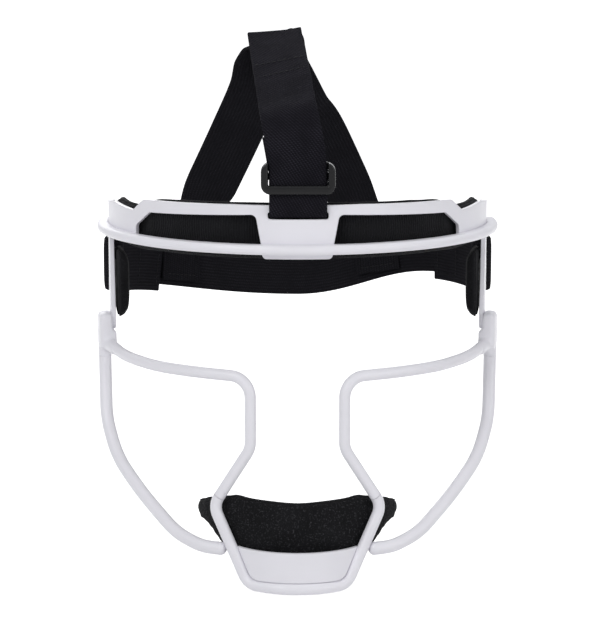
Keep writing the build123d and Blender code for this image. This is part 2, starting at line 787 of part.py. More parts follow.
with BuildPart() as top_strap:
    with BuildSketch(Plane.YZ.offset(strap_middle)) as hanging_cut:
        with BuildLine() as hanging:
            Line((-front_layer, strap_lean_height), (-front_layer, fold_height))
            ThreePointArc(
                (-front_layer, fold_height),
                (-fold_middle, fold_height - (front_layer - back_layer) / 2),
                (-back_layer, fold_height),
            )
            Polyline(
                (-back_layer, fold_height),
                (-back_layer, strap_jog_low),
                (-slider_layer, strap_jog_high),
                (-slider_layer, strap_tail_top),
            )
        trace(line_width=web)
    extrude(amount=web_width / 2, both=True)
    with BuildSketch(lean_plane) as leaning_cut:
        with BuildLine() as leaning:
            FilletPolyline(
                (-front_layer, -lean_lap),
                (-front_layer, strap_bend_height - strap_lean_height),
                (-strap_shoulder[0], strap_shoulder[1] - strap_lean_height),
                (-strap_rise[0], strap_rise[1] - strap_lean_height),
                hem_point(0, 0),
                radius=[strap_bend_radius, strap_crown_radius, strap_crown_radius],
            )
            ThreePointArc(hem_point(0, 0), hem_point(-(web + hem_fold_gap) / 2, 0.5), hem_point(0, 1))
            Polyline(hem_point(0, 1), hem_point(hem_reach, 1), hem_point(hem_length, 1))
        trace(line_width=web)
    extrude(amount=web_width / 2, both=True)
top_strap.part.label = "top_strap"
export_step(top_strap.part, "parts/top_strap.step")

# Slider: its lower bar passes in front of the strap, the other two behind it
slider_width = web_width + 2 * (slider_rail + slider_side_clearance)
slider_front = front_layer + web / 2 + slider_web_clearance + slider_bar_thickness
slider_back = slider_layer + web / 2 + slider_web_clearance
slider_low = slider_middle_height - slider_height / 2
slider_high = slider_middle_height + slider_height / 2
with BuildPart() as slider:
    with BuildSketch(Plane.XZ.offset(slider_back)):
        for side in (1, -1):
            with Locations((strap_middle + side * (slider_width - slider_rail) / 2, slider_middle_height)):
                Rectangle(slider_rail, slider_height)
    extrude(amount=slider_front - slider_back)
    with BuildSketch(Plane.XZ.offset(slider_back)):
        with Locations((strap_middle, slider_middle_height + slider_middle_bar / 4)):
            Rectangle(slider_width, slider_middle_bar)
        with Locations((strap_middle, slider_high - slider_top_bar / 2)):
            Rectangle(slider_width, slider_top_bar)
    extrude(amount=slider_bar_thickness)
    with BuildSketch(Plane.XZ.offset(slider_front)):
        with Locations((strap_middle, slider_low + slider_low_bar / 2)):
            Rectangle(slider_width, slider_low_bar)
    extrude(amount=-slider_bar_thickness)
    with BuildSketch(Plane.XZ.offset(slider_back)):
        with Locations((strap_middle, slider_middle_height)):
            RectangleRounded(slider_width, slider_height, slider_round)
    extrude(amount=slider_front - slider_back, mode=Mode.INTERSECT)
    front_edges = slider.faces().sort_by(Axis.Y)[0].edges()
    fillet(front_edges, radius=slider_bar_round)
slider.part.label = "slider"
export_step(slider.part, "parts/slider.step")


rear_side = ring_radius + rear_side_clearance
rear_back = ring_radius + rear_back_clearance


def rear_place(sweep, inset=0.0):
    """Point of the rear strap's ellipse: 0 at the right temple, pi at the left one."""
    return -(rear_side - inset) * math.cos(sweep), (rear_back - inset) * math.sin(sweep)


def rear_height(sweep):
    """Height of the strap's middle line, lowest at the nape."""
    droop = rear_left_droop_share if sweep > math.pi / 2 else rear_right_droop_share
    return fold_middle_height - rear_drop * math.sin(sweep) ** droop


def rear_station(sweep, inset=0.0):
    """Place, way and width of the strap at a sweep along the ellipse."""
    x, y = rear_place(sweep, inset)
    run = Vector((rear_side - inset) * math.sin(sweep), (rear_back - inset) * math.cos(sweep), 0)
    return (x, y, rear_height(sweep)), run.normalized(), (0, 0, 1)


# Rear strap, with a fold through the slot of each arm
rear_start_sweep = math.asin(rear_start / rear_back)
rear_steps = 36
with BuildPart() as rear_strap:
    sweeps = [
        rear_start_sweep + (math.pi - 2 * rear_start_sweep) * step / rear_steps
        for step in range(rear_steps + 1)
    ]
    add(webbing([rear_station(sweep) for sweep in sweeps], web_width, web))
    start_x, start_y = rear_place(rear_start_sweep)
    with BuildSketch(Plane.XY.offset(fold_middle_height)):
        for side in (1, -1):
            outer = side * -start_x
            inner = outer - side * fold_depth
            with BuildLine():
                Line((outer, start_y), (outer, arm_slot_middle + fold_depth / 2))
                ThreePointArc(
                    (outer, arm_slot_middle + fold_depth / 2),
                    ((outer + inner) / 2, arm_slot_middle),
                    (inner, arm_slot_middle + fold_depth / 2),
                )
                Line((inner, arm_slot_middle + fold_depth / 2), (inner, tab_start_back))
            trace(line_width=web)
    extrude(amount=web_width / 2, both=True)
rear_strap.part.label = "rear_strap"
export_step(rear_strap.part, "parts/rear_strap.step")

# Tabs, the ends of the rear strap that fold back inside it, and their hook patches
tab_steps = 12
for side, name in ((1, "left"), (-1, "right")):
    first = math.asin((tab_start_back + soft_gap) / (rear_back - fold_depth))
    last = math.asin(tab_end_back / rear_back)
    settle = math.asin(tab_settle_back / rear_back)
    stations = []
    for step in range(tab_steps + 1):
        sweep_in = first + (last - first) * step / tab_steps
        settled = min(1, (sweep_in - first) / (settle - first))
        ease = settled * settled * (3 - 2 * settled)
        inset = fold_depth + (web + tab_gap - fold_depth) * ease
        place, run, across = rear_station(math.pi - sweep_in if side == 1 else sweep_in, inset)
        stations.append(((place[0], place[1], place[2] - tab_drop * ease), run, across))
    tab = webbing(stations, web_width, web)
    tab.label = f"{name}_strap_tab"
    export_step(tab, f"parts/{name}_strap_tab.step")
    hook_first = last - tab_hook_length / rear_side
    hook_stations = []
    for step in range(tab_steps // 2 + 1):
        sweep_in = hook_first + (last - hook_first) * step / (tab_steps // 2)
        inset = web / 2 + tab_gap - tab_hook / 2 - weld_gap
        place, run, across = rear_station(math.pi - sweep_in if side == 1 else sweep_in, inset)
        hook_stations.append(((place[0], place[1], place[2] - tab_drop), run, across))
    hooks = webbing(hook_stations, web_width - 2 * tab_hook_margin, tab_hook)
    hooks.label = f"{name}_tab_hooks"
    export_step(hooks, f"parts/{name}_tab_hooks.step")

# Crown straps, sewn under the hem of the top strap and inside the rear strap
foot_inset = web + foot_gap


def foot_point(side, low):
    """Point on the inside of the rear strap at a side, at the strap's foot or above it."""
    sweep = math.acos(-side / (rear_side - foot_inset))
    x, y = rear_place(sweep, foot_inset)
    bottom = rear_height(sweep) - web_width / 2 + foot_bottom_inset
    return x, y, bottom if low else foot_top_height


def outwards(place):
    """Way out of the head at a place, square to an egg shape through the straps."""
    height = place.Z - fold_middle_height
    return Vector(place.X / rear_side**2, place.Y / rear_back**2, height / head_height**2).normalized()


hem_normal = lean_plane.x_dir * -hem_under.X + lean_plane.y_dir * -hem_under.Y
crown_steps = 24
crowns = [
    ("right", right_crown_bends, right_crown_foot, 2),
    ("left", left_crown_bends, left_crown_foot, 3.8),
]
for name, bends, feet, layer in crowns:
    lap_runs = (crown_lap, hem_reach, (hem_reach + crown_lead) / 2, crown_lead)
    lap = [lean_plane.from_local_coords((*hem_point(run, layer), 0)) for run in lap_runs]
    route = Spline(*lap, *bends, foot_point(feet[0], False), foot_point(feet[1], True))
    stations = []
    for step in range(crown_steps + 1):
        share = step / crown_steps
        place = route @ share
        run = route % share
        free_run = share * route.length - (crown_lap - crown_lead)
        foot_run = (1 - share) * route.length
        turned = min(1, max(0, free_run / crown_twist))
        settled = min(1, max(0, (foot_twist_lead - foot_run) / foot_twist))
        free_normal = Vector(0, 1, 0) * (1 - settled) + outwards(place) * settled
        normal = hem_normal * (1 - turned) + free_normal * turned
        stations.append((place, run, run.cross(normal).normalized()))
    crown_strap = webbing(stations, web_width, web)
    crown_strap.label = f"{name}_crown_strap"
    export_step(crown_strap, f"parts/{name}_crown_strap.step")
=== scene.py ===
"""The looks of a softball fielder's face guard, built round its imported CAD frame.

The CAD gives the coated steel cage and the hook patches, which are shown with procedural
materials. The brackets and the slider keep their CAD form with softened edges. Everything soft
is built here: the pads by a short cloth simulation, and the straps as woven ribbons with their
stitching. Lengths are in metres, with +Z up, -Y to the front of the face and the wearer's left
on +X.
"""

from __future__ import annotations

import json
import logging
import math
from dataclasses import dataclass
from enum import Enum
from typing import Sequence

import bmesh
import bpy
import numpy as np
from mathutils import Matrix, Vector
from mathutils.bvhtree import BVHTree

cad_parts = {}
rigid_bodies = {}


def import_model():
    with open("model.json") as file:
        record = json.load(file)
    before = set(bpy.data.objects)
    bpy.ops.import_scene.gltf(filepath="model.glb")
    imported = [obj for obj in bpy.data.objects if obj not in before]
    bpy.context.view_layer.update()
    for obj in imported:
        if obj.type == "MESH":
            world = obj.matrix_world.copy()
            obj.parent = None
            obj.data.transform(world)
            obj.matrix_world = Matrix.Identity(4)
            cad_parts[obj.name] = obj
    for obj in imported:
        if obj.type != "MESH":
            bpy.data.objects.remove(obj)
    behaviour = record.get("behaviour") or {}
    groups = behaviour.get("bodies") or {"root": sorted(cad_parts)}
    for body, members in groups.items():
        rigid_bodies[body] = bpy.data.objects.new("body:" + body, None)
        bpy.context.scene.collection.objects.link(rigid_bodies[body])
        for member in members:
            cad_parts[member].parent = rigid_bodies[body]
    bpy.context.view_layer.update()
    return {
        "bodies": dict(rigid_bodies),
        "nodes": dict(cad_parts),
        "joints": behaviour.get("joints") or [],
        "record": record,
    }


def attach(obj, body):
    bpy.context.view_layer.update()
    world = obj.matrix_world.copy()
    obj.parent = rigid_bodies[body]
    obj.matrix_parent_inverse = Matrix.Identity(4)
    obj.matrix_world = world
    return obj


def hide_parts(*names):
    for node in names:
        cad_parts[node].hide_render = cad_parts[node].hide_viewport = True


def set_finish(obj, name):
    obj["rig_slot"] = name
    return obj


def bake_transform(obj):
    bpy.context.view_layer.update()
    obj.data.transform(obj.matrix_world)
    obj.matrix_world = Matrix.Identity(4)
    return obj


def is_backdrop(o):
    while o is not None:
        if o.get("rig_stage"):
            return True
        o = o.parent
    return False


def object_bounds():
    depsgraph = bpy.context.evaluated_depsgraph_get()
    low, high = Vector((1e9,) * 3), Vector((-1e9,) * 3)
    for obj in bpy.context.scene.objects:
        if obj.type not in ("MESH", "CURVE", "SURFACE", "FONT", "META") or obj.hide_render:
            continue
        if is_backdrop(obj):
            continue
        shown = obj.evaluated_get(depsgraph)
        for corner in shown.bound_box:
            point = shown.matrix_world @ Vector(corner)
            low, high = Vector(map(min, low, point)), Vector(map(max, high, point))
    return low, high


log = logging.getLogger("face_guard")

MM = 0.001
Point = tuple[float, float, float]


class Side(Enum):
    """A side of the wearer: its name in the CAD and the sign of its X."""

    LEFT = ("left", 1.0)
    RIGHT = ("right", -1.0)

    @property
    def label(self) -> str:
        """The side's name, as the CAD nodes have it."""
        return self.value[0]

    @property
    def sign(self) -> float:
        """The sign of X on this side."""
        return self.value[1]


class Weave(Enum):
    """How a webbing is woven: pitch across, pitch along and slant of its ribs."""

    TWILL = (1.35 * MM, 1.0 * MM, 0.62)
    RIBBED = (1.5 * MM, 0.95 * MM, 0.0)


# Driving sizes of the CAD, in metres
RING_RADIUS = 89.2 * MM
WEB_WIDTH = 25.4 * MM
WEB = 1.5 * MM
FOLD_HEIGHT = -20.5 * MM
REAR_SIDE = 92.6 * MM
REAR_BACK = 109.0 * MM
REAR_DROP = 18.0 * MM
REAR_START = 17.0 * MM
FOLD_DEPTH = 7.6 * MM
FOLD_FRONT = 6.0 * MM
TAB_START = 12.3 * MM
TAB_END = 70.0 * MM
TAB_SETTLE = 34.0 * MM
TAB_GAP = 1.1 * MM
TAB_DROP = 3.3 * MM
STRAP_MIDDLE = 0.3 * MM
STRAP_LEAN = math.radians(13.0)
LEAN_HEIGHT = 41.0 * MM
FRONT_LAYER = 90.15 * MM
BACK_LAYER = 85.34 * MM
SLIDER_LAYER = 86.25 * MM
BROW_FOLD_HEIGHT = 16.8 * MM
HEM_LENGTH = 55.0 * MM
HEM_GAP = 0.4 * MM


class Graph:
    """A node tree that is being wired up."""

    def __init__(self, tree: bpy.types.NodeTree) -> None:
        """Starts on a tree."""
        self.tree = tree

    def feed(self, node: bpy.types.Node, inputs: dict) -> None:
        """Fills a node's inputs.

        Args:
            node: The node.
            inputs: Socket names or indexes, each with a value or an output to link from.
        """
        for key, value in inputs.items():
            socket = node.inputs[key]
            if isinstance(value, bpy.types.NodeSocket):
                self.tree.links.new(value, socket)
            else:
                socket.default_value = value

    def add(self, kind: str, inputs: dict | None = None, **settings) -> bpy.types.Node:
        """Adds a node.

        Args:
            kind: The node's Blender type.
            inputs: Socket names or indexes, each with a value or an output to link from.
            settings: Properties of the node itself.

        Returns:
            The new node.
        """
        node = self.tree.nodes.new(kind)
        for key, value in settings.items():
            setattr(node, key, value)
        self.feed(node, inputs or {})
        return node

    def math(self, operation: str, *values: object, clamp: bool = False) -> bpy.types.NodeSocket:
        """Adds a Math node over values or outputs and returns its result."""
        node = self.add("ShaderNodeMath", dict(enumerate(values)), operation=operation, use_clamp=clamp)
        return node.outputs[0]

    def noise(self, vector: bpy.types.NodeSocket, scale: float, detail: float) -> bpy.types.NodeSocket:
        """Adds a noise texture and returns its value."""
        inputs = {"Vector": vector, "Scale": scale, "Detail": detail}
        return self.add("ShaderNodeTexNoise", inputs).outputs["Fac"]

    def spread(self, value: bpy.types.NodeSocket, low: float, high: float) -> bpy.types.NodeSocket:
        """Spreads the middle of a noise over a range and returns the result."""
        inputs = {"Value": value, "From Min": 0.3, "From Max": 0.7, "To Min": low, "To Max": high}
        return self.add("ShaderNodeMapRange", inputs).outputs["Result"]

    def bump(
        self,
        height: bpy.types.NodeSocket,
        strength: float,
        depth: float,
        normal: bpy.types.NodeSocket | None = None,
    ) -> bpy.types.NodeSocket:
        """Adds a Bump node.

        Args:
            height: The height of the relief.
            strength: How strongly it shows.
            depth: Its depth in metres.
            normal: The normal that it starts from, or None for the surface's own.

        Returns:
            The new normal.
        """
        inputs = {"Height": height, "Strength": strength, "Distance": depth}
        if normal is not None:
            inputs["Normal"] = normal
        return self.add("ShaderNodeBump", inputs).outputs["Normal"]

    def blend(self, share: object, first: object, second: object) -> bpy.types.NodeSocket:
        """Mixes two colours and returns the result.

        Args:
            share: The share of the second colour.
            first: The first colour, or an output.
            second: The second colour, or an output.

        Returns:
            The mixed colour.
        """
        node = self.add("ShaderNodeMix", data_type="RGBA")
        for name, value in (("Factor", share), ("A", first), ("B", second)):
            kind = "VALUE" if name == "Factor" else "RGBA"
            socket = next(s for s in node.inputs if s.name == name and s.type == kind)
            if isinstance(value, bpy.types.NodeSocket):
                self.tree.links.new(value, socket)
            else:
                socket.default_value = value
        return next(s for s in node.outputs if s.type == "RGBA")


def group(name: str, inputs: dict[str, tuple[str, object]], outputs: dict[str, str]) -> tuple:
    """Makes an empty node group.

    Args:
        name: The group's name.
        inputs: Names of its inputs, each with a socket type and a default value.
        outputs: Names of its outputs, each with a socket type.

    Returns:
        The group, a graph of it, its input node and its output node.
    """
    tree = bpy.data.node_groups.new(name, "ShaderNodeTree")
    for label, (kind, default) in inputs.items():
        socket = tree.interface.new_socket(label, in_out="INPUT", socket_type=kind)
        if default is not None:
            socket.default_value = default
    for label, kind in outputs.items():
        tree.interface.new_socket(label, in_out="OUTPUT", socket_type=kind)
    graph = Graph(tree)
    return tree, graph, graph.add("NodeGroupInput"), graph.add("NodeGroupOutput")


def grain_group() -> bpy.types.NodeTree:
    """Fine and coarse noise over an object: a height and a slow drift for tone.

    Returns:
        The group.
    """
    kind = "NodeSocketFloat"
    tree, graph, start, end = group(
        "grain",
        {"Fine": (kind, 900.0), "Coarse": (kind, 60.0)},
        {"Height": kind, "Drift": kind},
    )
    place = graph.add("ShaderNodeTexCoord").outputs["Object"]
    fine = graph.add("ShaderNodeTexNoise", {"Vector": place, "Scale": start.outputs["Fine"], "Detail": 4.0})
    slow = graph.add("ShaderNodeTexNoise", {"Vector": place, "Scale": start.outputs["Coarse"], "Detail": 2.0})
    graph.feed(end, {"Height": fine.outputs["Fac"], "Drift": slow.outputs["Fac"]})
    return tree


def weave_group() -> bpy.types.NodeTree:
    """Ribs of a woven webbing over its UV map, which is in metres: a height and a thread mask, which marks
    the threads' crowns for a painted highlight.

    Returns:
        The group.
    """
    kind = "NodeSocketFloat"
    tree, graph, start, end = group(
        "weave",
        {"Across": (kind, 0.0012), "Along": (kind, 0.001), "Slant": (kind, 0.0)},
        {"Height": kind, "Thread": kind},
    )
    uv = graph.add("ShaderNodeTexCoord").outputs["UV"]
    parts = graph.add("ShaderNodeSeparateXYZ", {"Vector": uv})
    wobble = graph.math("SUBTRACT", graph.noise(uv, 260.0, 2.0), 0.5)
    wobble = graph.math("MULTIPLY", wobble, 0.9 * MM)
    across = graph.math("ADD", parts.outputs["X"], wobble)
    slanted = graph.math("MULTIPLY_ADD", parts.outputs["Y"], start.outputs["Slant"], across)
    turn = graph.math("MULTIPLY", graph.math("DIVIDE", slanted, start.outputs["Across"]), 2 * math.pi)
    rib = graph.math("MULTIPLY_ADD", graph.math("SINE", turn), 0.5, 0.5)
    row = graph.math("DIVIDE", parts.outputs["Y"], start.outputs["Along"])
    row = graph.math("MULTIPLY", row, 2 * math.pi)
    shifted = graph.math("ADD", row, graph.math("MULTIPLY", turn, 0.5))
    pick = graph.math("MULTIPLY_ADD", graph.math("SINE", shifted), 0.5, 0.5)
    height = graph.math("MULTIPLY_ADD", pick, 0.45, graph.math("MULTIPLY", rib, 0.75))
    graph.feed(end, {"Height": height, "Thread": graph.math("MULTIPLY", rib, pick)})
    return tree


def edge_group() -> bpy.types.NodeTree:
    """Softened edges of a coated sheet: a rounded normal and a mask that is 1 on an edge.

    Returns:
        The group.
    """
    tree, graph, start, end = group(
        "soft_edge",
        {"Radius": ("NodeSocketFloat", 0.0006)},
        {"Normal": "NodeSocketVector", "Edge": "NodeSocketFloat"},
    )
    bevel = graph.add("ShaderNodeBevel", {"Radius": start.outputs["Radius"]}, samples=6)
    plain = graph.add("ShaderNodeNewGeometry").outputs["Normal"]
    dot = graph.add(
        "ShaderNodeVectorMath", {0: bevel.outputs["Normal"], 1: plain}, operation="DOT_PRODUCT"
    )
    inputs = {"Value": dot.outputs["Value"], "From Min": 0.995, "From Max": 0.8, "To Min": 0.0, "To Max": 1.0}
    edge = graph.add("ShaderNodeMapRange", inputs)
    graph.feed(end, {"Normal": bevel.outputs["Normal"], "Edge": edge.outputs["Result"]})
    return tree


@dataclass
class Effects:
    """The node groups that several finishes share."""

    grain: bpy.types.NodeTree
    weave: bpy.types.NodeTree
    edge: bpy.types.NodeTree

    @classmethod
    def build(cls) -> "Effects":
        """Makes each group once."""
        return cls(grain_group(), weave_group(), edge_group())

    def grain_node(self, graph: Graph, fine: float, coarse: float) -> bpy.types.Node:
        """Adds the grain group to a material.

        Args:
            graph: The material's tree.
            fine: Scale of the fine noise.
            coarse: Scale of the slow drift.

        Returns:
            The group's node.
        """
        node = graph.add("ShaderNodeGroup", node_tree=self.grain)
        graph.feed(node, {"Fine": fine, "Coarse": coarse})
        return node

    def edge_node(self, graph: Graph, radius: float) -> bpy.types.Node:
        """Adds the soft edges to a material.

        Args:
            graph: The material's tree.
            radius: Radius of the edges in metres.

        Returns:
            The group's node.
        """
        node = graph.add("ShaderNodeGroup", node_tree=self.edge)
        graph.feed(node, {"Radius": radius})
        return node


def new_material(name: str) -> tuple[bpy.types.Material, Graph, bpy.types.Node]:
    """Makes a material with an empty Principled shader.

    Args:
        name: The material's name.

    Returns:
        The material, a graph of its tree and its shader node.
    """
    material = bpy.data.materials.new(name)
    material.use_nodes = True
    graph = Graph(material.node_tree)
    return material, graph, material.node_tree.nodes["Principled BSDF"]


def rgba(colour: Sequence[float], gain: float = 1.0) -> tuple[float, float, float, float]:
    """A colour with alpha, made lighter or darker by a gain."""
    red, green, blue = (min(1.0, channel * gain) for channel in colour)
    return red, green, blue, 1.0


@dataclass(frozen=True)
class Coat:
    """Satin powder coat over steel.

    Args:
        colour: Its colour.
        roughness: Its roughness.
        specular: Strength of its mirror light.
        clear: Weight of the clear film on it.
        clear_roughness: Roughness of that film.
        edge: Radius of its soft edges in metres.
        relief: Depth of its grain in metres.
    """

    colour: tuple[float, float, float] = (0.86, 0.85, 0.90)
    roughness: float = 0.33
    specular: float = 0.3
    clear: float = 0.12
    clear_roughness: float = 0.22
    edge: float = 0.7 * MM
    relief: float = 0.12 * MM

    def build(self, name: str, effects: Effects) -> bpy.types.Material:
        """Makes the material.

        Args:
            name: The material's name.
            effects: The shared node groups.

        Returns:
            The material.
        """
        material, graph, shader = new_material(name)
        grain = effects.grain_node(graph, 620.0, 38.0)
        edge = effects.edge_node(graph, self.edge)
        tone = graph.blend(
            graph.spread(grain.outputs["Drift"], 0.0, 1.0), rgba(self.colour, 0.975), rgba(self.colour, 1.015)
        )
        # The coat is drawn a little darker on its edges.
        edge_darkening = graph.math("MULTIPLY", edge.outputs["Edge"], 0.35)
        colour = graph.blend(edge_darkening, tone, rgba(self.colour, 0.9))
        rough = graph.spread(grain.outputs["Drift"], self.roughness - 0.04, self.roughness + 0.06)
        rough = graph.math("MULTIPLY_ADD", edge.outputs["Edge"], 0.06, rough)
        normal = graph.bump(grain.outputs["Height"], 0.1, self.relief, edge.outputs["Normal"])
        graph.feed(shader, {"Base Color": colour, "Roughness": rough, "Normal": normal})
        graph.feed(shader, {"Specular IOR Level": self.specular})
        graph.feed(shader, {"Coat Weight": self.clear, "Coat Roughness": self.clear_roughness})
        return material


@dataclass(frozen=True)
class MouldedPlastic:
    """Semi-gloss black nylon, as moulded.

    Args:
        colour: Its colour.
        rim: Gain of the colour on its edges, a painted highlight along them.
        roughness: Its roughness.
        specular: Strength of its mirror light.
        edge: Radius of its soft edges in metres.
        relief: Depth of its grain in metres.
    """

    colour: tuple[float, float, float] = (0.0065, 0.0065, 0.0075)
    rim: float = 6.0
    roughness: float = 0.2
    specular: float = 0.2
    edge: float = 0.5 * MM
    relief: float = 0.08 * MM

    def build(self, name: str, effects: Effects) -> bpy.types.Material:
        """Makes the material.

        Args:
            name: The material's name.
            effects: The shared node groups.

        Returns:
            The material.
        """
        material, graph, shader = new_material(name)
        grain = effects.grain_node(graph, 1500.0, 120.0)
        edge = effects.edge_node(graph, self.edge)
        # Painted highlight: the colour is drawn several times lighter on the edges.
        colour = graph.blend(edge.outputs["Edge"], rgba(self.colour), rgba(self.colour, self.rim))
        rough = graph.spread(grain.outputs["Drift"], self.roughness - 0.05, self.roughness + 0.1)
        normal = graph.bump(grain.outputs["Height"], 0.12, self.relief, edge.outputs["Normal"])
        graph.feed(shader, {"Base Color": colour, "Roughness": rough, "Normal": normal})
        graph.feed(shader, {"Specular IOR Level": self.specular})
        return material


@dataclass(frozen=True)
class Webbing:
    """Woven elastic webbing, its weave laid over the UV map.

    Args:
        weave: The weave of its ribs.
        colour: Its colour.
        lift: Gain of the colour on the threads' crowns, a painted highlight.
        roughness: Its roughness.
        specular: Strength of its mirror light.
        fibre: Depth of the fibres' relief in metres.
        relief: Depth of the weave's relief in metres.
    """

    weave: Weave
    colour: tuple[float, float, float] = (0.0082, 0.0078, 0.0102)
    lift: float = 4.6
    roughness: float = 0.75
    specular: float = 0.015
    fibre: float = 0.1 * MM
    relief: float = 0.28 * MM

    def build(self, name: str, effects: Effects) -> bpy.types.Material:
        """Makes the material.

        Args:
            name: The material's name.
            effects: The shared node groups.

        Returns:
            The material.
        """
        material, graph, shader = new_material(name)
        grain = effects.grain_node(graph, 2600.0, 90.0)
        weave = graph.add("ShaderNodeGroup", node_tree=effects.weave)
        graph.feed(weave, dict(zip(("Across", "Along", "Slant"), self.weave.value)))
        # Painted highlight: the threads' crowns are drawn lighter, more in some places than in others.
        crown_highlight_spread = graph.spread(grain.outputs["Drift"], 0.35, 1.0)
        share = graph.math("MULTIPLY", weave.outputs["Thread"], crown_highlight_spread)
        colour = graph.blend(share, rgba(self.colour), rgba(self.colour, self.lift))
        fibre = graph.bump(grain.outputs["Height"], 0.3, self.fibre)
        normal = graph.bump(weave.outputs["Height"], 0.8, self.relief, fibre)
        graph.feed(shader, {"Base Color": colour, "Roughness": self.roughness, "Normal": normal})
        graph.feed(shader, {"Specular IOR Level": self.specular})
        return material


@dataclass(frozen=True)
class PadCloth:
    """Knitted cover cloth of a pad.

    Args:
        colour: Its colour.
        knit: Stitches of the knit in a metre.
        fleck: Share of pale flecks, from 0.
        sheen: Weight of the shader's sheen.
        depth: Depth of the knit's relief in metres.
        ribs: Pitch in metres of upright ribs round the head, or 0 for none; their crowns get a painted
            highlight.
        roughness: Its roughness.
        specular: Strength of its mirror light.
        sheen_roughness: Roughness of the sheen.
        pale: The colour of the flecks.
    """

    colour: tuple[float, float, float]
    knit: float
    fleck: float
    sheen: float
    depth: float
    ribs: float = 0.0
    roughness: float = 0.85
    specular: float = 0.1
    sheen_roughness: float = 0.45
    pale: tuple[float, float, float] = (0.055, 0.055, 0.060)

    def build(self, name: str, effects: Effects) -> bpy.types.Material:
        """Makes the material.

        Args:
            name: The material's name.
            effects: The shared node groups.

        Returns:
            The material.
        """
        material, graph, shader = new_material(name)
        grain = effects.grain_node(graph, self.knit, 75.0)
        place = graph.add("ShaderNodeTexCoord").outputs["Object"]
        cells = graph.add("ShaderNodeTexVoronoi", {"Vector": place, "Scale": self.knit * 0.8})
        flecks = graph.add(
            "ShaderNodeMapRange",
            {"Value": graph.noise(place, self.knit * 0.9, 2.0), "From Min": 0.56, "From Max": 0.72},
        )
        speck = graph.math("MULTIPLY", flecks.outputs["Result"], self.fleck)
        tone = graph.blend(
            graph.spread(grain.outputs["Drift"], 0.0, 1.0), rgba(self.colour, 0.75), rgba(self.colour, 1.35)
        )
        height = graph.math("ADD", cells.outputs["Distance"], grain.outputs["Height"])
        if self.ribs:
            parts = graph.add("ShaderNodeSeparateXYZ", {"Vector": place})
            front = graph.math("MULTIPLY", parts.outputs["Y"], -1.0)
            round_head = graph.math("ARCTAN2", parts.outputs["X"], front)
            wander = graph.math("MULTIPLY", graph.noise(place, 220.0, 2.0), 4.0)
            turn = graph.math("MULTIPLY_ADD", round_head, 2 * math.pi * RING_RADIUS / self.ribs, wander)
            rib = graph.math("MULTIPLY_ADD", graph.math("SINE", turn), 0.8, 0.8)
            height = graph.math("ADD", height, rib)
            # Painted highlight: the crowns of the ribs are drawn lighter.
            tone = graph.blend(graph.math("MULTIPLY", rib, 0.2), tone, rgba(self.colour, 2.4))
        colour = graph.blend(speck, tone, rgba(self.pale))
        normal = graph.bump(height, 0.7, self.depth)
        graph.feed(shader, {"Base Color": colour, "Roughness": self.roughness, "Normal": normal})
        graph.feed(shader, {"Specular IOR Level": self.specular})
        graph.feed(shader, {"Sheen Weight": self.sheen, "Sheen Roughness": self.sheen_roughness})
        return material


@dataclass(frozen=True)
class HookTape:
    """The hook half of hook-and-loop tape: rows of small stiff hooks.

    Args:
        colour: Its colour.
        pitch: Length in metres from one hook to the next.
        roughness: Its roughness.
        relief: Depth of the hooks' relief in metres.
    """

    colour: tuple[float, float, float] = (0.010, 0.010, 0.011)
    pitch: float = 1.3 * MM
    roughness: float = 0.55
    relief: float = 0.4 * MM

    def build(self, name: str, effects: Effects) -> bpy.types.Material:
        """Makes the material.

        Args:
            name: The material's name.
            effects: The shared node groups.

        Returns:
            The material.
        """
        material, graph, shader = new_material(name)
        place = graph.add("ShaderNodeTexCoord").outputs["Object"]
        hooks = graph.add("ShaderNodeTexVoronoi", {"Vector": place, "Scale": 1.0 / self.pitch})
        grain = effects.grain_node(graph, 2400.0, 100.0)
        colour = graph.blend(hooks.outputs["Distance"], rgba(self.colour, 1.8), rgba(self.colour, 0.6))
        height = graph.math("MULTIPLY_ADD", grain.outputs["Height"], 0.3, hooks.outputs["Distance"])
        normal = graph.bump(height, 0.9, self.relief)
        graph.feed(shader, {"Base Color": colour, "Roughness": self.roughness, "Normal": normal})
        return material


@dataclass(frozen=True)
class Thread:
    """Bonded sewing thread.

    Args:
        colour: Its colour.
        roughness: Its roughness.
        specular: Strength of its mirror light.
        relief: Depth of its relief in metres.
    """

    colour: tuple[float, float, float] = (0.0075, 0.0075, 0.0090)
    roughness: float = 0.6
    specular: float = 0.15
    relief: float = 0.06 * MM

    def build(self, name: str, effects: Effects) -> bpy.types.Material:
        """Makes the material.

        Args:
            name: The material's name.
            effects: The shared node groups.

        Returns:
            The material.
        """
        material, graph, shader = new_material(name)
        grain = effects.grain_node(graph, 4200.0, 300.0)
        colour = graph.blend(grain.outputs["Drift"], rgba(self.colour, 0.7), rgba(self.colour, 1.3))
        normal = graph.bump(grain.outputs["Height"], 0.5, self.relief)
        graph.feed(shader, {"Base Color": colour, "Roughness": self.roughness, "Normal": normal})
        graph.feed(shader, {"Specular IOR Level": self.specular})
        return material


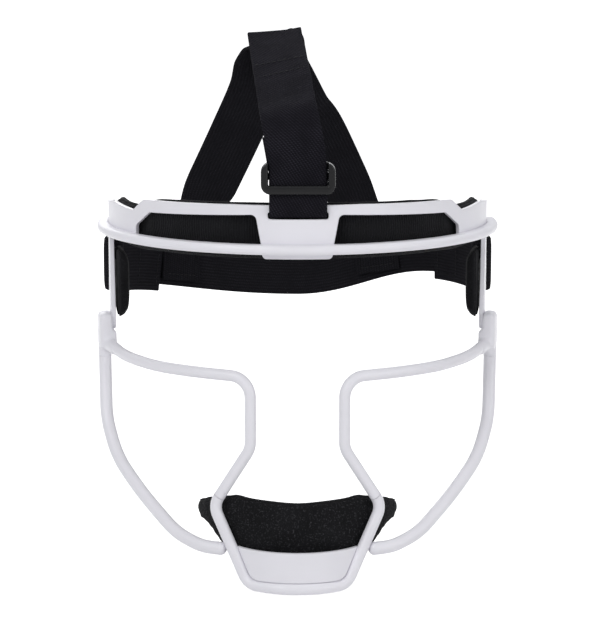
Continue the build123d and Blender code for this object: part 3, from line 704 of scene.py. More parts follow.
@dataclass
class Finishes:
    """Every material of the object, by what it is used for."""

    coat: bpy.types.Material
    plastic: bpy.types.Material
    top_web: bpy.types.Material
    rear_web: bpy.types.Material
    pad_cloth: bpy.types.Material
    chin_cloth: bpy.types.Material
    binding: bpy.types.Material
    hook_tape: bpy.types.Material
    thread: bpy.types.Material

    @classmethod
    def build(cls) -> "Finishes":
        """Makes the materials.

        Returns:
            The finishes.
        """
        effects = Effects.build()
        ribbed = Webbing(Weave.RIBBED, colour=(0.0104, 0.0101, 0.0122), lift=2.4)
        brow = PadCloth((0.0060, 0.0060, 0.0070), 1500.0, 0.12, 0.02, 0.22 * MM, 1.25 * MM)
        chin = PadCloth((0.0068, 0.0068, 0.0078), 1500.0, 0.75, 0.02, 0.4 * MM)
        tape = PadCloth((0.010, 0.010, 0.011), 1900.0, 0.02, 0.04, 0.15 * MM)
        return cls(
            coat=Coat().build("cage_coat", effects),
            plastic=MouldedPlastic().build("slider_plastic", effects),
            top_web=Webbing(Weave.TWILL).build("top_web", effects),
            rear_web=ribbed.build("rear_web", effects),
            pad_cloth=brow.build("pad_cloth", effects),
            chin_cloth=chin.build("chin_cloth", effects),
            binding=tape.build("pad_binding", effects),
            hook_tape=HookTape().build("hook_tape", effects),
            thread=Thread().build("sewing_thread", effects),
        )


def grid_mesh(
    name: str,
    grid: np.ndarray,
    material: bpy.types.Material,
    uv: np.ndarray | None = None,
    closed: bool = True,
    capped: bool = True,
) -> bpy.types.Object:
    """Builds an object from a grid of points.

    Args:
        name: The object's name.
        grid: Points in rows and columns, in metres.
        material: Its material.
        uv: A UV place for each point, or None.
        closed: Whether each row is a closed ring.
        capped: Whether the first and last rows are filled.

    Returns:
        The object, its faces turned outwards and shaded smooth.
    """
    rows, columns = grid.shape[:2]
    row = np.arange(rows - 1)[:, None] * columns
    column = np.arange(columns if closed else columns - 1)[None, :]
    after = (column + 1) % columns
    quads = np.stack([row + column, row + after, row + columns + after, row + columns + column], axis=-1)
    faces = quads.reshape(-1, 4).tolist()
    if capped:
        faces.append(list(range(columns))[::-1])
        faces.append([(rows - 1) * columns + index for index in range(columns)])
    mesh = bpy.data.meshes.new(name)
    mesh.from_pydata(grid.reshape(-1, 3).tolist(), [], faces)
    if uv is not None:
        corner = np.zeros(len(mesh.loops), dtype=np.int32)
        mesh.loops.foreach_get("vertex_index", corner)
        layer = mesh.uv_layers.new(name="UVMap")
        layer.data.foreach_set("uv", uv.reshape(-1, 2)[corner].astype(np.float32).ravel())
    return finish_mesh(mesh, name, material)


def finish_mesh(mesh: bpy.types.Mesh, name: str, material: bpy.types.Material) -> bpy.types.Object:
    """Turns a mesh's faces outwards, shades it smooth and links it to the scene.

    Args:
        mesh: The mesh.
        name: The new object's name.
        material: Its material.

    Returns:
        The object.
    """
    work = bmesh.new()
    work.from_mesh(mesh)
    bmesh.ops.recalc_face_normals(work, faces=work.faces)
    work.to_mesh(mesh)
    work.free()
    mesh.shade_smooth()
    mesh.materials.append(material)
    item = bpy.data.objects.new(name, mesh)
    bpy.context.scene.collection.objects.link(item)
    return item


def unit(vectors: np.ndarray) -> np.ndarray:
    """The vectors at unit length."""
    return vectors / np.linalg.norm(vectors, axis=-1, keepdims=True)


def evenly(points: np.ndarray, step: float) -> np.ndarray:
    """Points at even steps along a line through points.

    Args:
        points: The points, in order.
        step: The length of a step.

    Returns:
        The new points.
    """
    gaps = np.linalg.norm(np.diff(points, axis=0), axis=1)
    along = np.concatenate([[0.0], np.cumsum(gaps)])
    count = max(2, int(round(along[-1] / step)) + 1)
    wanted = np.linspace(0.0, along[-1], count)
    return np.stack([np.interp(wanted, along, points[:, axis]) for axis in range(points.shape[1])], axis=1)


def flowing(points: Sequence[Point], step: float) -> np.ndarray:
    """A smooth line through points: cubic runs whose slope at each point is that of its neighbours.

    Args:
        points: The points that it passes.
        step: The length of a step.

    Returns:
        Points along the line, at even steps.
    """
    places = np.array(points, dtype=float)
    padded = np.vstack([2 * places[0] - places[1], places, 2 * places[-1] - places[-2]])
    share = np.linspace(0.0, 1.0, 24, endpoint=False)[:, None]
    runs = []
    for index in range(1, len(padded) - 2):
        before, start, end, after = padded[index - 1 : index + 3]
        runs.append(
            0.5
            * (
                2 * start
                + (end - before) * share
                + (2 * before - 5 * start + 4 * end - after) * share**2
                + (3 * start - before - 3 * end + after) * share**3
            )
        )
    return evenly(np.vstack(runs + [places[-1:]]), step)


def softened(points: np.ndarray, rounds: int) -> np.ndarray:
    """The line with each inner point drawn towards its neighbours, some rounds over.

    Args:
        points: The points of the line.
        rounds: How many rounds.

    Returns:
        The softened line.
    """
    line = points.copy()
    for _ in range(rounds):
        line[1:-1] = line[1:-1] * 0.5 + (line[:-2] + line[2:]) * 0.25
    return line


@dataclass
class Strap:
    """A woven strap along a line.

    Args:
        line: Its middle line, at even steps.
        normal: The way its outer face looks at each point.
        width: Its width.
        thickness: Its thickness.
        fullness: Gain of the thickness at each point.
    """

    line: np.ndarray
    normal: np.ndarray
    width: float = WEB_WIDTH
    thickness: float = WEB
    fullness: np.ndarray | float = 1.0

    def __post_init__(self) -> None:
        """Works out the ways across and off the strap, and its length so far."""
        run = unit(np.gradient(self.line, axis=0))
        self.across = unit(np.cross(run, self.normal))
        self.normal = unit(np.cross(self.across, run))
        gaps = np.linalg.norm(np.diff(self.line, axis=0), axis=1)
        self.along = np.concatenate([[0.0], np.cumsum(gaps)])

    @property
    def length(self) -> float:
        """The strap's length."""
        return float(self.along[-1])

    def at(self, along: float, across: float, lift: float) -> np.ndarray:
        """The point at a way along and across the strap, lifted off its middle layer.

        Args:
            along: The way along the strap.
            across: The way across it from its middle.
            lift: The way off its middle layer.

        Returns:
            The point.
        """
        out = []
        for field_ in (self.line, self.across, self.normal):
            out.append(np.array([np.interp(along, self.along, field_[:, axis]) for axis in range(3)]))
        place, side, up = out
        return place + side * across + up * lift

    def build(self, name: str, material: bpy.types.Material, ripple: float = 0.0) -> bpy.types.Object:
        """Builds the strap with rounded selvedges and a UV map in metres.

        Args:
            name: The object's name.
            material: Its material.
            ripple: Depth of the soft waves along its edges.

        Returns:
            The object.
        """
        half, thick = self.width / 2, self.thickness / 2
        inner = half - thick
        flat = np.linspace(-inner, inner, 9)
        bend = np.radians([67.5, 30.0, 0.0, -30.0, -67.5])
        right = [(inner + thick * math.cos(a), thick * math.sin(a)) for a in bend]
        left = [(-x, y) for x, y in reversed(right)]
        # The faces dish a little towards the middle, and the selvedges stay full
        dish = [(x, thick * (0.88 + 0.12 * (abs(x) / inner) ** 4)) for x in flat]
        outline = dish + right + [(x, -y) for x, y in reversed(dish)] + left
        profile = np.array(outline)
        # Where the strap is fuller, it swells in the middle and keeps its thin selvedges
        roundness = np.sqrt(1.0 - np.clip(np.abs(profile[:, 0]) / half, 0.0, 1.0) ** 4)
        swell = (np.reshape(self.fullness, (-1, 1)) - 1.0) * roundness
        lift = profile[:, 1] * (1.0 + swell) * np.ones((len(self.line), 1))
        grid = (
            self.line[:, None, :]
            + self.across[:, None, :] * profile[None, :, 0:1]
            + self.normal[:, None, :] * lift[:, :, None]
        )
        if ripple:
            wave = np.sin(self.along / (9.0 * MM))[:, None] * (profile[None, :, 0] / half) ** 2
            grid = grid + self.normal[:, None, :] * (ripple * wave)[:, :, None]
        across = np.broadcast_to(profile[None, :, 0], grid.shape[:2])
        along = np.broadcast_to(self.along[:, None], grid.shape[:2])
        return grid_mesh(name, grid, material, np.stack([across, along], axis=-1))


@dataclass(frozen=True)
class Seam:
    """How a row of stitches is sewn.

    Args:
        pitch: Length from one stitch to the next.
        radius: Radius of the thread.
    """

    pitch: float = 2.6 * MM
    radius: float = 0.24 * MM

    def build(
        self, name: str, rows: list[np.ndarray], normals: list[np.ndarray], material: bpy.types.Material
    ) -> bpy.types.Object:
        """Builds rows of stitches as one object.

        Args:
            name: The object's name.
            rows: The line of each row, on the cloth.
            normals: The way out of the cloth at each point of each row.
            material: The thread's material.

        Returns:
            The object.
        """
        vertices: list[np.ndarray] = []
        faces: list[list[int]] = []
        share = np.array([0.0, 0.12, 0.5, 0.88, 1.0])
        swell = np.sin(share * math.pi)
        ring = np.linspace(0.0, 2 * math.pi, 6, endpoint=False)
        for row, normal in zip(rows, normals):
            spots = evenly(np.hstack([row, normal]), self.pitch)
            line, ups = spots[:, :3], unit(spots[:, 3:])
            for start, end, up in zip(line[:-1], line[1:], ups[:-1]):
                way = end - start
                begin = start + way * 0.12
                run = unit(way)
                side = np.cross(run, up)
                centre = begin + way * 0.76 * share[:, None] + up * (self.radius * (swell - 0.5))[:, None]
                size = self.radius * (0.6 + 0.4 * swell)
                round_ = np.cos(ring)[None, :, None] * side + np.sin(ring)[None, :, None] * up
                first = len(vertices) * 30
                vertices.append((centre[:, None, :] + round_ * size[:, None, None]).reshape(-1, 3))
                for band in range(4):
                    for index in range(6):
                        after = (index + 1) % 6
                        low, high = first + band * 6, first + band * 6 + 6
                        faces.append([low + index, low + after, high + after, high + index])
                faces.append([first + index for index in reversed(range(6))])
                faces.append([first + 24 + index for index in range(6)])
        mesh = bpy.data.meshes.new(name)
        mesh.from_pydata(np.vstack(vertices).tolist(), [], faces)
        return finish_mesh(mesh, name, material)


def strap_rows(strap: Strap, runs: Sequence[tuple], lift: float) -> tuple[list, list]:
    """Stitch rows on a strap's face.

    Args:
        strap: The strap.
        runs: Start and end of each row, as (along, across) pairs.
        lift: How far the face is off the strap's middle layer, negative on its inside.

    Returns:
        The rows and the ways out of the cloth.
    """
    rows, normals = [], []
    for start, end in runs:
        share = np.linspace(0.0, 1.0, 24)
        spots = [(start[0] + (end[0] - start[0]) * s, start[1] + (end[1] - start[1]) * s) for s in share]
        row = np.array([strap.at(along, across, lift) for along, across in spots])
        above = np.array([strap.at(along, across, lift * 2) for along, across in spots])
        rows.append(row)
        normals.append(unit(above - row))
    return rows, normals


def box_runs(start: float, end: float, half: float) -> list[tuple]:
    """The four sides of a sewn box between two ways along a strap, half a width to each side.

    Args:
        start: Where the box starts along the strap.
        end: Where it ends.
        half: Half its width.

    Returns:
        Start and end of each side, as (along, across) pairs.
    """
    corners = [(start, -half), (start, half), (end, half), (end, -half)]
    return [(corners[index], corners[(index + 1) % 4]) for index in range(4)]


def tube(
    name: str,
    line: np.ndarray,
    sizes: tuple[float, float],
    normal: np.ndarray,
    material: bpy.types.Material,
) -> bpy.types.Object:
    """A rounded band along a line.

    Args:
        name: The object's name.
        line: Its middle line.
        sizes: Half its width along the cloth and half its height off it.
        normal: The way out of the cloth at each point.
        material: Its material.

    Returns:
        The object.
    """
    run = unit(np.gradient(line, axis=0))
    side = unit(np.cross(run, normal))
    turn = np.linspace(0.0, 2 * math.pi, 12, endpoint=False)
    offset = np.cos(turn)[None, :, None] * side[:, None, :] * sizes[0]
    offset = offset + np.sin(turn)[None, :, None] * normal[:, None, :] * sizes[1]
    return grid_mesh(name, line[:, None, :] + offset, material)


def rear_place(sweep: np.ndarray, inset: np.ndarray | float = 0.0) -> np.ndarray:
    """Points of the rear strap's ellipse: sweep 0 is at the right temple and pi at the left one.

    Args:
        sweep: Angles round the ellipse.
        inset: How far inside the strap's middle layer.

    Returns:
        The points.
    """
    droop = np.where(sweep > math.pi / 2, 8.0, 2.3)
    height = FOLD_HEIGHT - REAR_DROP * np.abs(np.sin(sweep)) ** droop
    x = -(REAR_SIDE - inset) * np.cos(sweep)
    return np.stack([x, (REAR_BACK - inset) * np.sin(sweep), height], axis=-1)


def level_normals(line: np.ndarray) -> np.ndarray:
    """Level ways square to a line that goes round the head from right to left.

    Args:
        line: The points of the line.

    Returns:
        The ways, at unit length.
    """
    run = np.gradient(line, axis=0)
    run[:, 2] = 0.0
    return unit(np.stack([-run[:, 1], run[:, 0], np.zeros(len(run))], axis=1))


def head_normals(line: np.ndarray) -> np.ndarray:
    """Ways out of the head at each point, square to an egg shape through the straps."""
    squares = np.array([REAR_SIDE**2, REAR_BACK**2, (106.0 * MM) ** 2])
    return unit((line - np.array([0.0, 0.0, FOLD_HEIGHT])) / squares)


class TopStrap:
    """The elastic strap that runs from the brow slot over the crown to its sewn hem."""

    step = 1.5 * MM
    tail_top = 51.0 * MM
    tail_low = 23.0 * MM
    tail_foot = 20.0 * MM
    tail_slant = 3.2 * MM
    bend_height = 54.5 * MM
    bend_top = (-78.5 * MM, 59.5 * MM)
    shoulder = (-60.0 * MM, 66.5 * MM)
    rise = (-28.0 * MM, 78.5 * MM)
    hem = (8.0 * MM, 90.8 * MM)
    soft = 4.0 * MM
    stitch_rows = (39.0 * MM, 52.0 * MM)
    ripple = 0.12 * MM

    def __init__(self, finishes: Finishes) -> None:
        """Lays out the hem and the strap's line."""
        self.finishes = finishes
        way = np.array([self.hem[0] - self.rise[0], self.hem[1] - self.rise[1]])
        self.way = way / np.linalg.norm(way)
        self.under = np.array([self.way[1], -self.way[0]])
        self.reach = float(np.linalg.norm(way))
        rise_way = np.array(self.rise) - np.array(self.shoulder)
        self.rise_way = rise_way / np.linalg.norm(rise_way)
        self.strap = self._strap()

    def leaned(self, flat: np.ndarray, leaning: np.ndarray) -> np.ndarray:
        """Places points of the upright middle plane in the strap's plane, which leans above the slider.

        Args:
            flat: Back and height of each point.
            leaning: Share of the lean at each point.

        Returns:
            The points in space.
        """
        above = flat[:, 1] - LEAN_HEIGHT
        rise = self.soft * np.logaddexp(0.0, above / self.soft) * leaning
        x = STRAP_MIDDLE - rise * math.sin(STRAP_LEAN)
        z = LEAN_HEIGHT + above - rise * (1.0 - math.cos(STRAP_LEAN))
        return np.stack([x, flat[:, 0], z], axis=1)

    def hem_point(self, run: float, layer: float) -> np.ndarray:
        """Back and height of a point of the sewn stack: run back from its fold, layers down.

        Args:
            run: The way back from the fold.
            layer: How many layers down.

        Returns:
            Back and height of the point.
        """
        past = max(0.0, run - self.reach)
        spot = np.array(self.hem) - self.way * (run - past) - self.rise_way * past
        return spot + self.under * layer * (WEB + HEM_GAP)

    def _strap(self) -> Strap:
        """The strap's line from the end of its tail to the end of its hem.

        Returns:
            The strap.
        """
        turn = np.linspace(0.0, math.pi, 13)
        middle, reach = (FRONT_LAYER + BACK_LAYER) / 2, (FRONT_LAYER - BACK_LAYER) / 2
        fold = np.stack([-middle + reach * np.cos(turn), BROW_FOLD_HEIGHT - reach * np.sin(turn)], axis=1)
        tail = np.array(
            [(-SLIDER_LAYER, self.tail_top), (-SLIDER_LAYER, self.tail_low), (-BACK_LAYER, self.tail_foot)]
        )
        over = flowing(
            [
                (-FRONT_LAYER, LEAN_HEIGHT, 0.0),
                (-FRONT_LAYER + 1.0 * MM, self.bend_height - 7.0 * MM, 0.0),
                (*self.bend_top, 0.0),
                (*self.shoulder, 0.0),
                (*self.rise, 0.0),
                (*self.hem_point(0.0, 0.0), 0.0),
            ],
            self.step,
        )[:, :2]
        swing = (WEB + HEM_GAP) / 2
        loop = [self.hem_point(-swing * math.sin(a), (1 - math.cos(a)) / 2) for a in turn[1:-1:2]]
        under = [self.hem_point(run, 1.0) for run in np.linspace(0.0, HEM_LENGTH, 20)]
        behind = evenly(tail, self.step)
        rising = evenly(np.array([fold[-1], over[0]]), self.step)
        flat = np.vstack([behind, fold[1:-1], rising, over[1:], loop, under])
        leaning = np.ones(len(flat))
        leaning[: len(behind) + len(fold)] = 0.0
        line = self.leaned(flat, softened(leaning[:, None], 6)[:, 0])
        # The loose tail slants a little further than the strap in front of it
        tail_rise = np.clip((flat[: len(behind), 1] - 33.0 * MM) / (18.0 * MM), 0.0, 1.0)
        line[: len(behind), 0] -= self.tail_slant * tail_rise
        run = np.gradient(softened(line, 2), axis=0)
        # Its width leans with it, and levels out again over the crown
        heights = [LEAN_HEIGHT - 6 * MM, LEAN_HEIGHT + 8 * MM, 74 * MM, 91 * MM]
        lean = np.interp(line[:, 2], heights, [0.0, STRAP_LEAN, STRAP_LEAN, 0.3 * STRAP_LEAN])
        width_way = np.stack([np.cos(lean), np.zeros(len(line)), np.sin(lean)], axis=1)
        return Strap(softened(line, 1), unit(np.cross(width_way, run)))

    def build(self) -> list[bpy.types.Object]:
        """Builds the strap and the two rows of stitches through its hem.

        Returns:
            The strap's web and its stitches.
        """
        body = self.strap.build("top_strap_web", self.finishes.top_web, self.ripple)
        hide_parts("top_strap")
        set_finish(body, "top_web")
        half = WEB_WIDTH / 2 - 1.2 * MM
        end = self.strap.length - HEM_LENGTH - self.step
        sign = 1.0 if self.strap.normal[len(self.strap.line) // 2][2] > 0 else -1.0
        runs = [((end - back, -half), (end - back, half)) for back in self.stitch_rows]
        rows, normals = strap_rows(self.strap, runs, sign * WEB / 2)
        sewn = Seam().build("top_strap_stitches", rows, normals, self.finishes.thread)
        return [body, sewn]


class RearStraps:
    """The strap round the back of the head, its two tabs and the crown straps sewn to it."""

    crown_lap = 52.0 * MM
    crown_lead = 3.0 * MM
    crown_twist = 60.0 * MM
    foot_twist_lead = 62.0 * MM
    foot_twist = 28.0 * MM
    bends = {
        Side.RIGHT: [
            (-14.4, 16.0, 85.2),
            (-17.8, 27.5, 76.0),
            (-20.5, 36.0, 60.5),
            (-30.1, 51.0, 38.0),
            (-47.4, 73.0, 1.0),
        ],
        Side.LEFT: [
            (-9.4, 12.0, 79.0),
            (-5.8, 22.0, 70.2),
            (3.0, 42.0, 51.0),
            (11.5, 58.0, 37.4),
            (28.8, 85.0, -0.7),
        ],
    }
    feet = {Side.RIGHT: (-57.5 * MM, -59.5 * MM), Side.LEFT: (38.5 * MM, 41.5 * MM)}
    layers = {Side.RIGHT: 2.0, Side.LEFT: 3.8}
    foot_inset = WEB + 1.2 * MM
    fold_tuck = 0.35 * MM
    fold_fullness = 1.6
    rear_ripple = 0.1 * MM
    crown_ripple = 0.15 * MM

    def __init__(self, finishes: Finishes, top: TopStrap) -> None:
        """Keeps the materials and the strap that the crown straps start under."""
        self.finishes = finishes
        self.top = top

    def build(self) -> None:
        """Builds the straps and puts each on its body."""
        rear = self._rear_strap()
        parts = [rear.build("rear_strap_web", self.finishes.rear_web, self.rear_ripple)]
        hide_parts("rear_strap")
        for side in Side:
            parts += self._crown_strap(side)
            self._tab(side)
        for part in parts:
            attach(part, "cage")
            if part.get("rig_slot") is None:
                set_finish(part, "rear_web")

    def _rear_strap(self) -> Strap:
        """The outer run and the folds through the slots of both arms.

        Returns:
            The strap.
        """
        start = math.asin(REAR_START / REAR_BACK)
        sweep = np.linspace(start, math.pi - start, 180)
        outer = rear_place(sweep)
        folds = []
        turn = np.linspace(0.0, math.pi, 11)
        for end, side in ((outer[-1], Side.LEFT), (outer[0], Side.RIGHT)):
            x = end[0] - side.sign * FOLD_DEPTH / 2 * (1 - np.cos(turn))
            y = FOLD_FRONT + FOLD_DEPTH / 2 * (1 - np.sin(turn))
            arc = np.stack([x, y, np.full(len(turn), FOLD_HEIGHT)], axis=1)
            inner = np.array([[x[-1], TAB_START - 0.3 * MM, FOLD_HEIGHT]])
            folds.append(np.vstack([arc, inner]))
        line = evenly(np.vstack([folds[1][::-1], outer, folds[0]]), 1.2 * MM)
        line = softened(line, 1)
        # The elastic is fuller where it comes out of the slot, and lies against the arm
        swell = np.exp(-(((line[:, 1] - 13.0 * MM) / (7.0 * MM)) ** 2)) * (np.abs(line[:, 0]) > 89.0 * MM)
        swell = softened(swell[:, None], 3)[:, 0]
        line[:, 0] -= np.sign(line[:, 0]) * self.fold_tuck * swell
        return Strap(line, -level_normals(line), fullness=1.0 + self.fold_fullness * swell)

    def _foot(self, side: Side, low: bool) -> np.ndarray:
        """The point on the inside of the rear strap where a crown strap is sewn on.

        Args:
            side: The side of the wearer.
            low: Whether it is the strap's very end.

        Returns:
            The point.
        """
        x = self.feet[side][1 if low else 0]
        sweep = np.array(math.acos(-x / (REAR_SIDE - self.foot_inset)))
        place = rear_place(sweep, self.foot_inset)
        place[2] = place[2] - WEB_WIDTH / 2 + 3.0 * MM if low else -20.0 * MM
        return place

    def _crown_strap(self, side: Side) -> list[bpy.types.Object]:
        """A crown strap from under the hem to its sewn foot, with its stitching.

        Args:
            side: The side of the wearer.

        Returns:
            The strap's web and its stitches.
        """
        top = self.top
        runs = (self.crown_lap, top.reach, (top.reach + self.crown_lead) / 2, self.crown_lead)
        flat = np.array([top.hem_point(run, self.layers[side]) for run in runs])
        lap = top.leaned(flat, np.ones(len(flat)))
        bends = [tuple(np.array(bend) * MM) for bend in self.bends[side]]
        line = flowing([*lap, *bends, self._foot(side, False), self._foot(side, True)], 1.6 * MM)
        length = float(np.linalg.norm(np.diff(line, axis=0), axis=1).sum())
        gone = np.linspace(0.0, length, len(line))[:, None]
        turned = np.clip((gone - (self.crown_lap - self.crown_lead)) / self.crown_twist, 0.0, 1.0)
        turned = turned * turned * (3 - 2 * turned)
        lean_sine, lean_cosine = math.sin(STRAP_LEAN), math.cos(STRAP_LEAN)
        hem_normal = np.array([lean_sine * top.under[1], -top.under[0], -lean_cosine * top.under[1]])
        # The free run lies square to the way back, then turns flat against the rear strap
        settled = np.clip((self.foot_twist_lead - (length - gone)) / self.foot_twist, 0.0, 1.0)
        settled = settled * settled * (3 - 2 * settled)
        free = np.array([0.0, 1.0, 0.0]) * (1 - settled) + head_normals(line) * settled
        normals = hem_normal * (1 - turned) + free * turned
        strap = Strap(line, normals)
        name = f"{side.label}_crown_strap"
        body = strap.build(f"{name}_web", self.finishes.rear_web, self.crown_ripple)
        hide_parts(name)
        outward = np.sign(np.dot(strap.normal[-1], head_normals(line)[-1]))
        box = box_runs(strap.length - 15.0 * MM, strap.length - 3.0 * MM, WEB_WIDTH / 2 - 3.0 * MM)
        rows, ways = strap_rows(strap, box, -outward * WEB / 2)
        sewn = Seam().build(f"{name}_stitches", rows, ways, self.finishes.thread)
        return [body, sewn]

    def _tab(self, side: Side) -> None:
        """The end of the rear strap that turns back inside it, with the patch of hooks sewn on.

        Args:
            side: The side of the wearer.
        """
        first = math.asin(TAB_START / (REAR_BACK - FOLD_DEPTH))
        last = math.asin(TAB_END / REAR_BACK)
        settle = math.asin(TAB_SETTLE / REAR_BACK)
        sweep = np.linspace(first, last, 48)
        settled = np.clip((sweep - first) / (settle - first), 0.0, 1.0)
        ease = settled * settled * (3 - 2 * settled)
        inset = FOLD_DEPTH + (WEB + TAB_GAP - FOLD_DEPTH) * ease
        line = rear_place(math.pi - sweep if side is Side.LEFT else sweep, inset)
        line[:, 2] -= TAB_DROP * ease
        outward = level_normals(line) * (1.0 if side is Side.LEFT else -1.0)
        strap = Strap(line, outward)
        name = f"{side.label}_strap_tab"
        body = strap.build(f"{name}_web", self.finishes.rear_web)
        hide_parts(name)
        sign = np.sign(np.dot(strap.normal[-1], [line[-1][0], line[-1][1], 0.0]))
        box = box_runs(strap.length - 20.0 * MM, strap.length - 3.0 * MM, WEB_WIDTH / 2 - 3.4 * MM)
        rows, ways = strap_rows(strap, box, -sign * WEB / 2)
        sewn = Seam().build(f"{name}_stitches", rows, ways, self.finishes.thread)
        for part in (body, sewn):
            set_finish(part, "rear_web")
        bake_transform(body)
        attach(sewn, f"{side.label}_tab")


@dataclass(frozen=True)
class PadForm:
    """A pad lofted through upright cuts round an axis, as the CAD has it.

    Args:
        name: The pad's name in the CAD.
        cuts: Turn, inner and outer radius, bottom and top of each cut, sizes in millimetres.
        axis_front: How far its axis is in front of the head's axis, in millimetres.
        crown: How far its face swells in millimetres.
        creases: Depth of the upright creases in its face, in millimetres.
        windows: First and last turn and lowest and highest place of the windows that its
            back swells into, or None.
        bound: Whether its edges are bound with tape.
        nose: Radius in millimetres of the rounding of its face at the top and bottom, or 0.
    """

    name: str
    cuts: tuple[tuple[float, float, float, float, float], ...]
    axis_front: float
    crown: float
    creases: float
    windows: tuple[float, float, float, float] | None = None
    bound: bool = True
    nose: float = 0.0

    @property
    def reach(self) -> float:
        """The largest outer radius in millimetres."""
        return max(cut[2] for cut in self.cuts)

    def profile(self, turns: np.ndarray) -> list[np.ndarray]:
        """Inner and outer radius, bottom and top at each turn, eased over the cuts' corners.

        Args:
            turns: Angles round the pad's axis.

        Returns:
            The four rows of sizes in millimetres.
        """
        cuts = np.array(self.cuts)
        values = [np.interp(turns, cuts[:, 0], cuts[:, index]) for index in range(1, 5)]
        return [softened(value[:, None], 4)[:, 0] for value in values]

    def surface(self, shrink: float) -> np.ndarray:
        """The pad's skin as rings of points, drawn in by a margin.

        Each ring is a closed outline in an upright plane: a flat back, round edges and a
        crowned face. The margin in millimetres leaves room for the cloth to swell.

        Args:
            shrink: The margin in millimetres.

        Returns:
            The rings of points in metres.
        """
        margin = shrink / self.reach
        turns = np.linspace(self.cuts[0][0] + margin, self.cuts[-1][0] - margin, 120)
        inner, outer, bottom, top = self.profile(turns)
        inner, outer, bottom, top = inner + shrink, outer - shrink, bottom + shrink, top - shrink
        angle = np.linspace(0.0, 2 * math.pi, 36, endpoint=False)
        # A rounded box: the cosine and sine of the outline's turn, pushed out to its corners,
        # further at the back, which lies flat
        corner = np.where(np.cos(angle) > 0, 0.3, 0.55)
        square_x = np.sign(np.cos(angle)) * np.abs(np.cos(angle)) ** corner
        square_z = np.sign(np.sin(angle)) * np.abs(np.sin(angle)) ** corner
        middle, depth = (outer + inner) / 2, (outer - inner) / 2
        crown = np.where(np.cos(angle) < 0, np.cos(np.sin(angle) * math.pi / 2), 0.0)
        radius = middle[:, None] + depth[:, None] * square_x[None, :] - self.crown * crown[None, :]
        height = (bottom + top)[:, None] / 2 + (top - bottom)[:, None] / 2 * square_z[None, :]
        if self.nose:
            edge = np.minimum(height - bottom[:, None], top[:, None] - height)
            short = 1.0 - np.clip(edge / self.nose, 0.0, 1.0)
            radius += (outer[:, None] - radius) * (1.0 - np.sqrt(1.0 - short**2)) * 0.85
        x = radius * np.sin(turns)[:, None]
        y = -radius * np.cos(turns)[:, None] - self.axis_front
        return np.stack([x, y, height], axis=-1) * MM

    def edge_line(self, upper: bool, share: float) -> np.ndarray:
        """A line along the pad's upper or lower edge, at a share of its thickness from the face.

        Args:
            upper: Whether it is the upper edge.
            share: The share of the thickness, from the face.

        Returns:
            The line in metres.
        """
        turns = np.linspace(self.cuts[0][0], self.cuts[-1][0], 200)
        inner, outer, bottom, top = self.profile(turns)
        radius = inner + (outer - inner) * share
        x = radius * np.sin(turns)
        y = -radius * np.cos(turns) - self.axis_front
        return np.stack([x, y, top if upper else bottom], axis=-1) * MM


